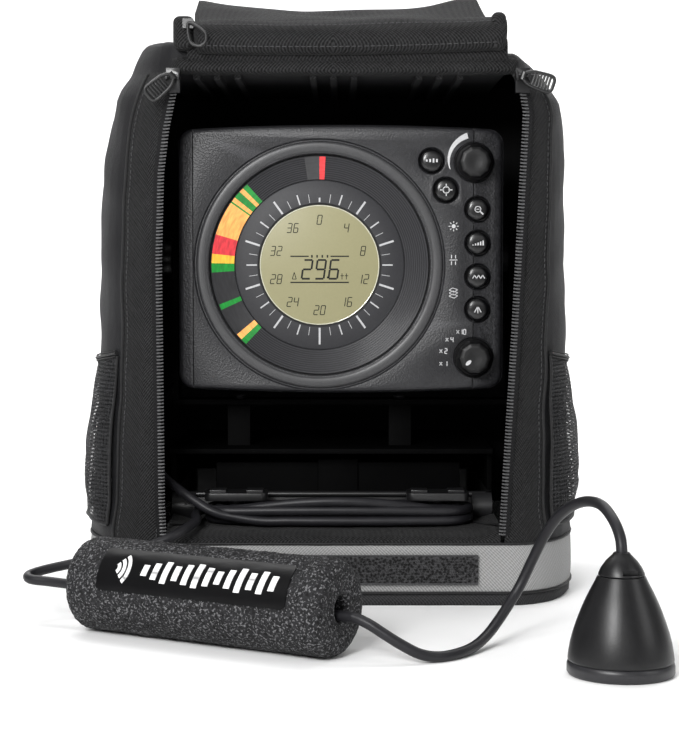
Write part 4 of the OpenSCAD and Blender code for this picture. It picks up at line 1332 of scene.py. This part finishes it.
def bar(form, p, q, width, y, thick=0.12):
    """A flat printed bar from p to q, both (x, z)."""
    a, b = Vector(p), Vector(q)
    side = Vector((-(b - a).y, (b - a).x)).normalized() * width / 2
    form.plate([tuple(a - side), tuple(b - side), tuple(b + side), tuple(a + side)], y - thick, y + 0.05)


def on_dial(r, clock):
    """A point on the dial: clock is in degrees, clockwise from the top."""
    a = math.radians(clock)
    return (DIAL[0] + r * math.sin(a), DIAL[2] + r * math.cos(a))


def make_scale(y, lcd_r):
    form = Form()
    r0 = lcd_r + 2.0
    for i in range(40):
        clock = 9 * i
        if i == 0:
            length, width = 2.6, 1.0
        elif i == 20:
            length, width = 10.0, 1.15
        elif i % 4 == 0:
            length, width = 9.0, 1.15
        elif i % 4 == 2:
            length, width = 6.2, 0.8
        else:
            length, width = 5.0, 0.32
        bar(form, on_dial(r0, clock), on_dial(r0 + length, clock), width, y)
    form.make("scale_marks", M["grey_ink"], "head", "scale_print")


# the seven strokes of a digit, as ends on a 1 x 2 grid
STROKES = {"a": ((0, 2), (1, 2)), "b": ((1, 2), (1, 1)), "c": ((1, 1), (1, 0)), "d": ((0, 0), (1, 0)),
           "e": ((0, 1), (0, 0)), "f": ((0, 2), (0, 1)), "g": ((0, 1), (1, 1))}
DIGITS = {"0": "abcdef", "1": "bc", "2": "abged", "3": "abgcd", "4": "fgbc", "5": "afgcd", "6": "afgedc",
          "7": "abc", "8": "abcdefg", "9": "abcdfg", "-": "g"}


def write_number(form, text, at, height, y, stroke=0.55, lean=0.16):
    """Seven-stroke numerals centred on at, an (x, z) point."""
    w, gap = height * 0.46, height * 0.26
    total = len(text) * w + (len(text) - 1) * gap
    x = at[0] - total / 2
    for ch in text:
        for s in DIGITS.get(ch, ""):
            (x0, z0), (x1, z1) = STROKES[s]
            ends = []
            for px, pz in ((x0, z0), (x1, z1)):
                px, pz = mix(px, (x0 + x1) / 2, 0.08), mix(pz, (z0 + z1) / 2, 0.06)
                zz = at[1] + (pz - 1) * height / 2
                ends.append((x + px * w + lean * (zz - at[1]), zz))
            bar(form, *ends, stroke, y, 0.1)
        x += w + gap


def make_display(y):
    form = Form()
    for i in range(10):
        r = 27.3 if i not in (0, 5) else 27.0
        write_number(form, str(4 * i), on_dial(r, 36 * i), 5.4, y, 0.5)
    # readout between two rules
    cx, cz = DIAL[0], DIAL[2]
    write_number(form, "296", (cx + 0.6, cz - 2.6), 11.2, y, 1.1, 0.14)
    bar(form, (cx + 4.9, cz - 7.9), (cx + 4.9, cz - 6.9), 1.1, y, 0.1)
    for x0, x1, z in ((-17.5, 17.5, -10.4), (-17.5, -6.5, 5.2), (6.5, 17.5, 5.2)):
        bar(form, (cx + x0, cz + z), (cx + x1, cz + z), 0.75, y, 0.1)
    for k in range(4):
        bar(form, (cx - 4.6 + 3.1 * k, cz + 4.4), (cx - 4.6 + 3.1 * k, cz + 6.0), 0.9, y, 0.1)
    for p, q in (((-16.4, -8.4), (-15.2, -4.4)), ((-15.2, -4.4), (-14.0, -8.4)),
                 ((-16.4, -8.4), (-14.0, -8.4)),
                 ((13.4, -8.6), (13.4, -5.0)), ((12.5, -6.4), (14.5, -6.4)), ((16.0, -8.6), (16.0, -5.0)),
                 ((15.1, -6.4), (17.1, -6.4))):
        bar(form, (cx + p[0], cz + p[1]), (cx + q[0], cz + q[1]), 0.42, y, 0.1)
    form.make("display_figures", M["lcd_ink"], "head", "lcd")


# echo bars: colour, and where each starts and ends, in degrees clockwise from the top
ECHOES = [("off", -8, 0), ("signal", 0, 3.2), ("green", -45, -42), ("orange", -47.5, -45),
          ("green", -51.5, -47.5),
          ("orange", -54, -51.5), ("green", -55, -54), ("orange", -73.5, -55), ("red", -84, -73.5),
          ("yellow", -89, -84),
          ("green", -94, -89), ("off", -111.5, -94), ("green", -114.5, -111.5), ("off", -130, -114.5),
          ("orange", -133.5, -130), ("green", -137, -133.5)]


def make_echoes(window_r, plate_r):
    """Lit bars, each on the funnel's own slope."""
    for kind in ("green", "orange", "red", "yellow", "off", "signal"):
        form = Form()
        for color, a0, a1 in ECHOES:
            if color != kind:
                continue
            n = max(2, int((a1 - a0) / 1.2))
            rows = []
            for a in steps(a0, a1, n):
                row = []
                for t in steps(0.04, 0.97, 8):
                    r = mix(window_r, plate_r, t)
                    x, z = on_dial(r, a)
                    row.append((x, funnel_y(t) - 0.34, z))
                rows.append(row)
            under = [[(x, y + 0.12, z) for x, y, z in row] for row in rows]
            top_n = len(form.verts)
            form.grid(rows)
            form.grid(under)
            m = len(rows[0])
            count = len(rows) * m
            rim = [i for i in range(m)] + [i * m + m - 1 for i in range(1, len(rows))]
            rim += [(len(rows) - 1) * m + j for j in range(m - 2, -1,
                                                           -1)] + [i * m for i in range(len(rows) - 2, 0, -1)]
            side = [[top_n + a, top_n + b, top_n + count + b, top_n + count + a] for a,
                    b in zip(rim, rim[1:] + rim[:1])]
            form.faces += side
            form.mats += [0] * len(side)
        form.make("echo_bars_" + kind, M["echo_" + kind], "head", "window_smoke")


def make_controls():
    for node in ("gain_knob", "range_knob"):
        c = centre(node)
        front = edges(node)[0][1]
        r = radius_of(node)

        def lobes(q, h, a, front=front):
            """Ten flat grip faces on the body, fading out towards the skirt."""
            k = smooth((front + 9.5 - h) / 3.0) * smooth((q - 4) / 5)
            facet = math.cos(math.pi / 10) / math.cos((a % (TAU / 10)) - math.pi / 10)
            return q * mix(1, facet, k)

        profile = [(3.0, FACE_Y + 1.2), (r, FACE_Y + 1.0), (r, FACE_Y - 0.6), (r - 0.35, FACE_Y - 1.3),
                   (r - 0.9, FACE_Y - 1.8), (r - 1.3, front + 4.5), (r - 1.7, front + 2.2),
                   (r - 2.6, front + 0.9),
                   (r - 3.8, front + 0.25), (r - 5.0, front + 0.05), (r - 8.0, front + 0.45),
                   (0.6, front + 0.7)]
        Form().lathe(profile, (c[0], 0, c[2]), (0, 1, 0), 120, wobble=lobes).make(
            node + "_moulded", M["knob"], node, "knob_plastic", [node], sharp=24)
    # pointer mark on the range knob
    c = centre("range_knob")
    front = edges("range_knob")[0][1]
    spot = Form()
    spot.plate([(c[0] - 3.9 + 1.9 * math.cos(t) * 0.8 - 1.0 * math.sin(t) * 0.7,
                 c[2] - 2.6 + 1.9 * math.cos(t) * 0.7 + 1.0 * math.sin(t) * 0.8) for t in steps(0, TAU,
                         20)[:-1]],
               front + 0.0, front + 0.6)
    spot.make("range_pointer", M["white_ink"], "range_knob", "knob_plastic")
    for i in range(1, 7):
        node = "button_%d" % i
        c = centre(node)
        front = edges(node)[0][1]
        r = 6.75
        profile = [(r + 1.2, FACE_Y + 4.4), (r + 1.2, FACE_Y + 3.6), (r, FACE_Y + 3.3), (r, FACE_Y - 0.6),
                   (r - 0.25, FACE_Y - 1.2), (r - 0.9, front + 0.55), (r - 2.0, front + 0.2),
                   (r - 4, front + 0.05),
                   (0.4, front)]
        Form().lathe(profile, (c[0], 0, c[2]), (0, 1, 0), 64).make(node + "_cap", M["button"], node,
                "button_rubber",
                                                                   [node], sharp=50)
        symbol(i, c[0], c[2], front - 0.02).make(node + "_symbol", M["white_ink"], node, "button_rubber")
    for s, node in ((-1, "tilt_knob_left"), (1, "tilt_knob_right")):
        low, high = edges(node)
        c = centre(node)
        x0 = high[0] - 18 if s < 0 else low[0] + 18
        r = (high[1] - low[1]) / 2

        def grip(q, h, a):
            return q * (1 + 0.05 * math.cos(8 * a) * smooth((q - 6) / 5))

        profile = [(3.98, -18), (3.98, -0.1), (r - 2.5, 0), (r - 1.0, 0.7), (r - 0.4, 2.5), (r - 0.6, 9.5),
                   (r - 1.8, 11.3),
                   (r - 4, 12), (2, 12)]
        Form().lathe(profile, (x0, c[1], c[2]), (s, 0, 0), 96, wobble=grip).make(node + "_moulded",
                M["knob"], node,
                                                                                "knob_plastic", [node],
                                                                                        sharp=40)


def symbol(i, x, z, y):
    """A plain sign on each button: colour bars, a target, rings, a rising line, dots and a fan."""
    form = Form()

    def loop(r, width, n=24):
        for k in range(n):
            a, b = TAU * k / n, TAU * (k + 1) / n
            bar(form, (x + r * math.cos(a), z + r * math.sin(a)),
                (x + r * math.cos(b), z + r * math.sin(b)), width, y)

    if i == 1:
        for k, h in enumerate((1.2, 1.8, 2.4, 1.8)):
            bar(form, (x - 3.0 + 2.0 * k, z - h / 2), (x - 3.0 + 2.0 * k, z + h / 2), 1.0, y)
    elif i == 2:
        loop(1.9, 0.5)
        for dx, dz in ((1, 0), (-1, 0), (0, 1), (0, -1)):
            bar(form, (x + 1.3 * dx, z + 1.3 * dz), (x + 3.6 * dx, z + 3.6 * dz), 0.6, y)
    elif i == 3:
        loop(1.7, 0.5)
        bar(form, (x + 1.3, z - 1.3), (x + 3.2, z - 3.0), 0.8, y)
        bar(form, (x - 0.9, z), (x + 0.9, z), 0.45, y)
    elif i == 4:
        for k in range(5):
            bar(form, (x - 3.0 + 1.5 * k, z - 1.4), (x - 3.0 + 1.5 * k, z - 0.9 + 0.6 * k), 0.8, y)
    elif i == 5:
        for k in range(6):
            bar(form, (x - 3.2 + 1.2 * k, z + (1.0 if k % 2 else -1.0)),
                (x - 2.0 + 1.2 * k, z + (-1.0 if k % 2 else 1.0)),
                0.55, y)
    else:
        for a in (-28, 0, 28):
            c, s = math.sin(math.radians(a)), math.cos(math.radians(a))
            bar(form, (x + 0.6 * c, z + 2.0 - 0.6 * s), (x + 4.2 * c, z + 2.0 - 4.2 * s), 0.6, y)
    return form


def make_print():
    """White marks on the housing: the gain swoosh, the range scale and three small signs."""
    form = Form()
    y = FACE_Y - 0.02
    g = centre("gain_knob")
    inner, outer = [], []
    for a in steps(196, 104, 20):
        t = (196 - a) / 92
        r = 14.6
        wide = 0.3 + 3.1 * t ** 0.8
        c, s = math.cos(math.radians(a)), math.sin(math.radians(a))
        inner.append((g[0] + r * c, g[2] + r * s))
        outer.append((g[0] + (r + wide) * c, g[2] + (r + wide) * s))
    for k in range(20):
        form.plate([inner[k], inner[k + 1], outer[k + 1], outer[k]], y - 0.12, y + 0.05)
    k = centre("range_knob")
    for text, a in (("1", 193), ("2", 167), ("4", 141), ("10", 115)):
        c, s = math.cos(math.radians(a)), math.sin(math.radians(a))
        px, pz = k[0] + 18.2 * c, k[2] + 16.8 * s
        write_number(form, text, (px + 1.2, pz), 2.9, y, 0.5, 0.0)
        for d in (1, -1):
            bar(form, (px - 2.6, pz - 1.0 * d), (px - 1.0, pz + 1.0 * d), 0.45, y)
    # sun
    x, z = centre("button_3")[0] - 14.2, (centre("button_3")[2] + centre("button_4")[2]) / 2
    for a in range(0, 360, 45):
        c, s = math.cos(math.radians(a)), math.sin(math.radians(a))
        bar(form, (x + 1.9 * c, z + 1.9 * s), (x + 3.0 * c, z + 3.0 * s), 0.5, y)
    form.plate([(x + 1.2 * math.cos(t), z + 1.2 * math.sin(t)) for t in steps(0, TAU, 16)[:-1]], y - 0.12,
               y + 0.05)
    # two units, one over the other
    z = (centre("button_4")[2] + centre("button_5")[2]) / 2
    bar(form, (x - 2.4, z), (x + 2.4, z), 0.45, y)
    for dx in (-1.2, 1.2):
        bar(form, (x + dx, z + 0.9), (x + dx, z + 3.0), 0.5, y)
        bar(form, (x + dx, z - 3.0), (x + dx, z - 0.9), 0.5, y)
    # stacked layers
    z = (centre("button_5")[2] + centre("button_6")[2]) / 2
    for dz in (-1.8, 0, 1.8):
        for a, b in (((-2.6, 0), (0.4, -1.2)), ((0.4, -1.2), (2.6, 0.2)), ((2.6, 0.2), (-0.4, 1.3)),
                     ((-0.4, 1.3), (-2.6, 0))):
            bar(form, (x + a[0], z + dz + a[1]), (x + b[0], z + dz + b[1]), 0.4, y)
    form.make("housing_marks", M["white_ink"], "head", "scale_print")


make_housing()
make_dial()
make_controls()
make_print()


# ---------- float and transducer ----------
def make_float():
    start, end = Vector((-133, -164.3, 25.4)), Vector((5, -246, 25.4))
    axis = (end - start).normalized()
    length, r = (end - start).length, 25.4
    u, v, w = basis(axis)
    profile = [(7.0, 8), (6.9, 1.6), (7.8, 0.3), (10, 0.0), (14, 0.0)]
    profile += [(r - 7 + 7 * math.sin(a), 7 - 7 * math.cos(a)) for a in steps(0, math.pi / 2, 10)]
    profile += [(r, h) for h in steps(7, length - 7, 190)[1:-1]]
    profile += [(r - 7 + 7 * math.cos(a), length - 7 + 7 * math.sin(a)) for a in steps(0, math.pi / 2, 10)]
    profile += [(14, length), (10, length), (7.8, length - 0.3), (6.9, length - 1.6), (7.0, length - 8)]
    seg = 200
    rows = []
    for q, h in profile:
        row = []
        for k in range(seg):
            a = TAU * k / seg
            p = start + w * h + (u * math.cos(a) + v * math.sin(a)) * q
            lump = 0.42 * bumpy(p, 2.3, 4.0) + 0.3 * bumpy(p, 1.1, 9.0) + 0.35 * bumpy(p, 12, 1.0)
            if q > 8:
                out = (u * math.cos(a) + v * math.sin(a))
                if q < 18:
                    out = w * (1 if h > 50 else -1)
                p = p + out * (lump - 0.35)
            p.z = max(p.z, 0.05)
            row.append(p)
        rows.append(row)
    rows.append(rows[0])
    Form().grid(rows, close=True).make("float_foam", M["foam"], "float", "float_foam", ["float"], sharp=80)

    # label: a printed wrap on the side that faces up and to the front
    def on_skin(s, a, out):
        """s along the float, a round it in degrees: 0 level to the front, 90 up."""
        front = Vector((axis.y, -axis.x, 0))
        if front.y > 0:
            front = -front
        d = front * math.cos(math.radians(a)) + Vector((0, 0, 1)) * math.sin(math.radians(a))
        return start + axis * s + d * (r + out)

    s0, s1, a0, a1 = 24, 142, 4, 60
    round_r = 1.2
    rows = []
    for s in steps(s0, s1, 60):
        edge = min(s - s0, s1 - s)
        pinch = 0 if edge > round_r else (round_r - math.sqrt(max(0, round_r ** 2 - (round_r - edge) ** 2)))
        da = math.degrees(pinch / r)
        rows.append([on_skin(s, a, 0.35 + 0.1 * bumpy((s, a, 0), 9, 2.0)) for a in steps(a0 + da, a1 - da,
                30)])
    label = Form().grid(rows).make("float_wrap", M["label"], "float", "label_print", ["float_label"],
                                   sharp=80)
    thicken(label, 0.3, 60, offset=-1)

    # plain art: sonar arcs, then a row of depth bars
    art = Form()

    def patch(points):
        """A thin printed shape whose corners are (s, a)."""
        art.add([on_skin(s, a, out) for out in (0.78, 0.3) for s, a in points], slab_faces(len(points)))

    middle = (a0 + a1) / 2
    degree = 180 / math.pi / r
    for radius in (3.2, 6.4, 9.6):
        pts = [(radius * math.cos(t), radius * math.sin(t)) for t in steps(-0.85, 0.85, 12)]
        for (x0, z0), (x1, z1) in zip(pts, pts[1:]):
            k0, k1 = (radius - 1.0) / radius, (radius + 1.0) / radius
            patch([(s0 + 10 + x0 * k0, middle + z0 * k0 * degree),
                   (s0 + 10 + x1 * k0, middle + z1 * k0 * degree),
                   (s0 + 10 + x1 * k1, middle + z1 * k1 * degree),
                   (s0 + 10 + x0 * k1, middle + z0 * k1 * degree)])
    heights = [6, 9, 12, 8, 11, 13, 10, 7, 10, 13, 9, 12, 8]
    for i, h in enumerate(heights):
        s = s0 + 30 + 6.6 * i
        lean = 1.2
        cells = 5
        for k in range(cells):
            b0, b1 = mix(-h / 2, h / 2, k / cells), mix(-h / 2, h / 2, (k + 1) / cells)
            patch([(s - 1.75 + lean * b0 / 8, middle + b0 * degree),
                   (s + 1.75 + lean * b0 / 8, middle + b0 * degree),
                   (s + 1.75 + lean * b1 / 8, middle + b1 * degree),
                   (s - 1.75 + lean * b1 / 8, middle + b1 * degree)])
    art.make("float_art", M["label_ink"], "float", "label_print")


def make_transducer():
    c = centre("transducer_face")
    origin = (c[0], c[1], 0)
    up = (0, 0, 1)
    ring = [(16, 2.0), (16, 0.3), (24.6, 0.0), (25.6, 0.5), (26.2, 1.5), (26.2, 4.6), (25.9, 5.8),
            (25.2, 6.5), (16, 6.5)]
    Form().lathe(ring + [ring[0]], origin, up, 128).make("sensor_ring", M["puck_ring"], "root", "puck_ring",
                                                         ["transducer_face"], sharp=40)
    element = [(0.3, 0.8), (15.7, 0.8), (15.9, 1.4), (15.9, 3)]
    Form().lathe(element, origin, up, 96).make("sensor_window", M["rubber"], "root", "puck_ring")
    cone = [(3, 6.6), (25.2, 6.6), (25.7, 7.2), (25.75, 8.0), (25.4, 11.0), (24.6, 15.5), (23.3, 20.5),
            (21.6, 25.7),
            (19.7, 30.8), (17.6, 35.8), (15.3, 40.6), (13.2, 44.6), (11.9, 47.3), (11.5, 48.0), (3, 48.0)]
    Form().lathe(cone, origin, up, 128).make("sensor_cone", M["puck"], "root", "puck_plastic",
                                             ["transducer_body"],
                                             sharp=40)
    cap = [(3.2, 48.4), (11.1, 48.4), (11.3, 48.8), (11.0, 49.7), (10.2, 51.5), (9.1, 53.2), (7.6, 55.3),
           (5.9, 57.0),
           (4.5, 58.4), (3.9, 59.3), (3.5, 59.4), (3.2, 58.6), (3.0, 52)]
    obj = Form().lathe(cap, origin, up, 96).make("sensor_cap", M["puck"], "root", "puck_plastic",
                                                 ["transducer_cap"],
                                                 sharp=35)
    slot_cut = Form().block((c[0] - 1.0, c[1] - 14, 49.4), (c[0] + 7.0, c[1] - 7.4, 51.8))
    cut(obj, [cutter(slot_cut)])
    shade(obj, 35)


make_float()
make_transducer()
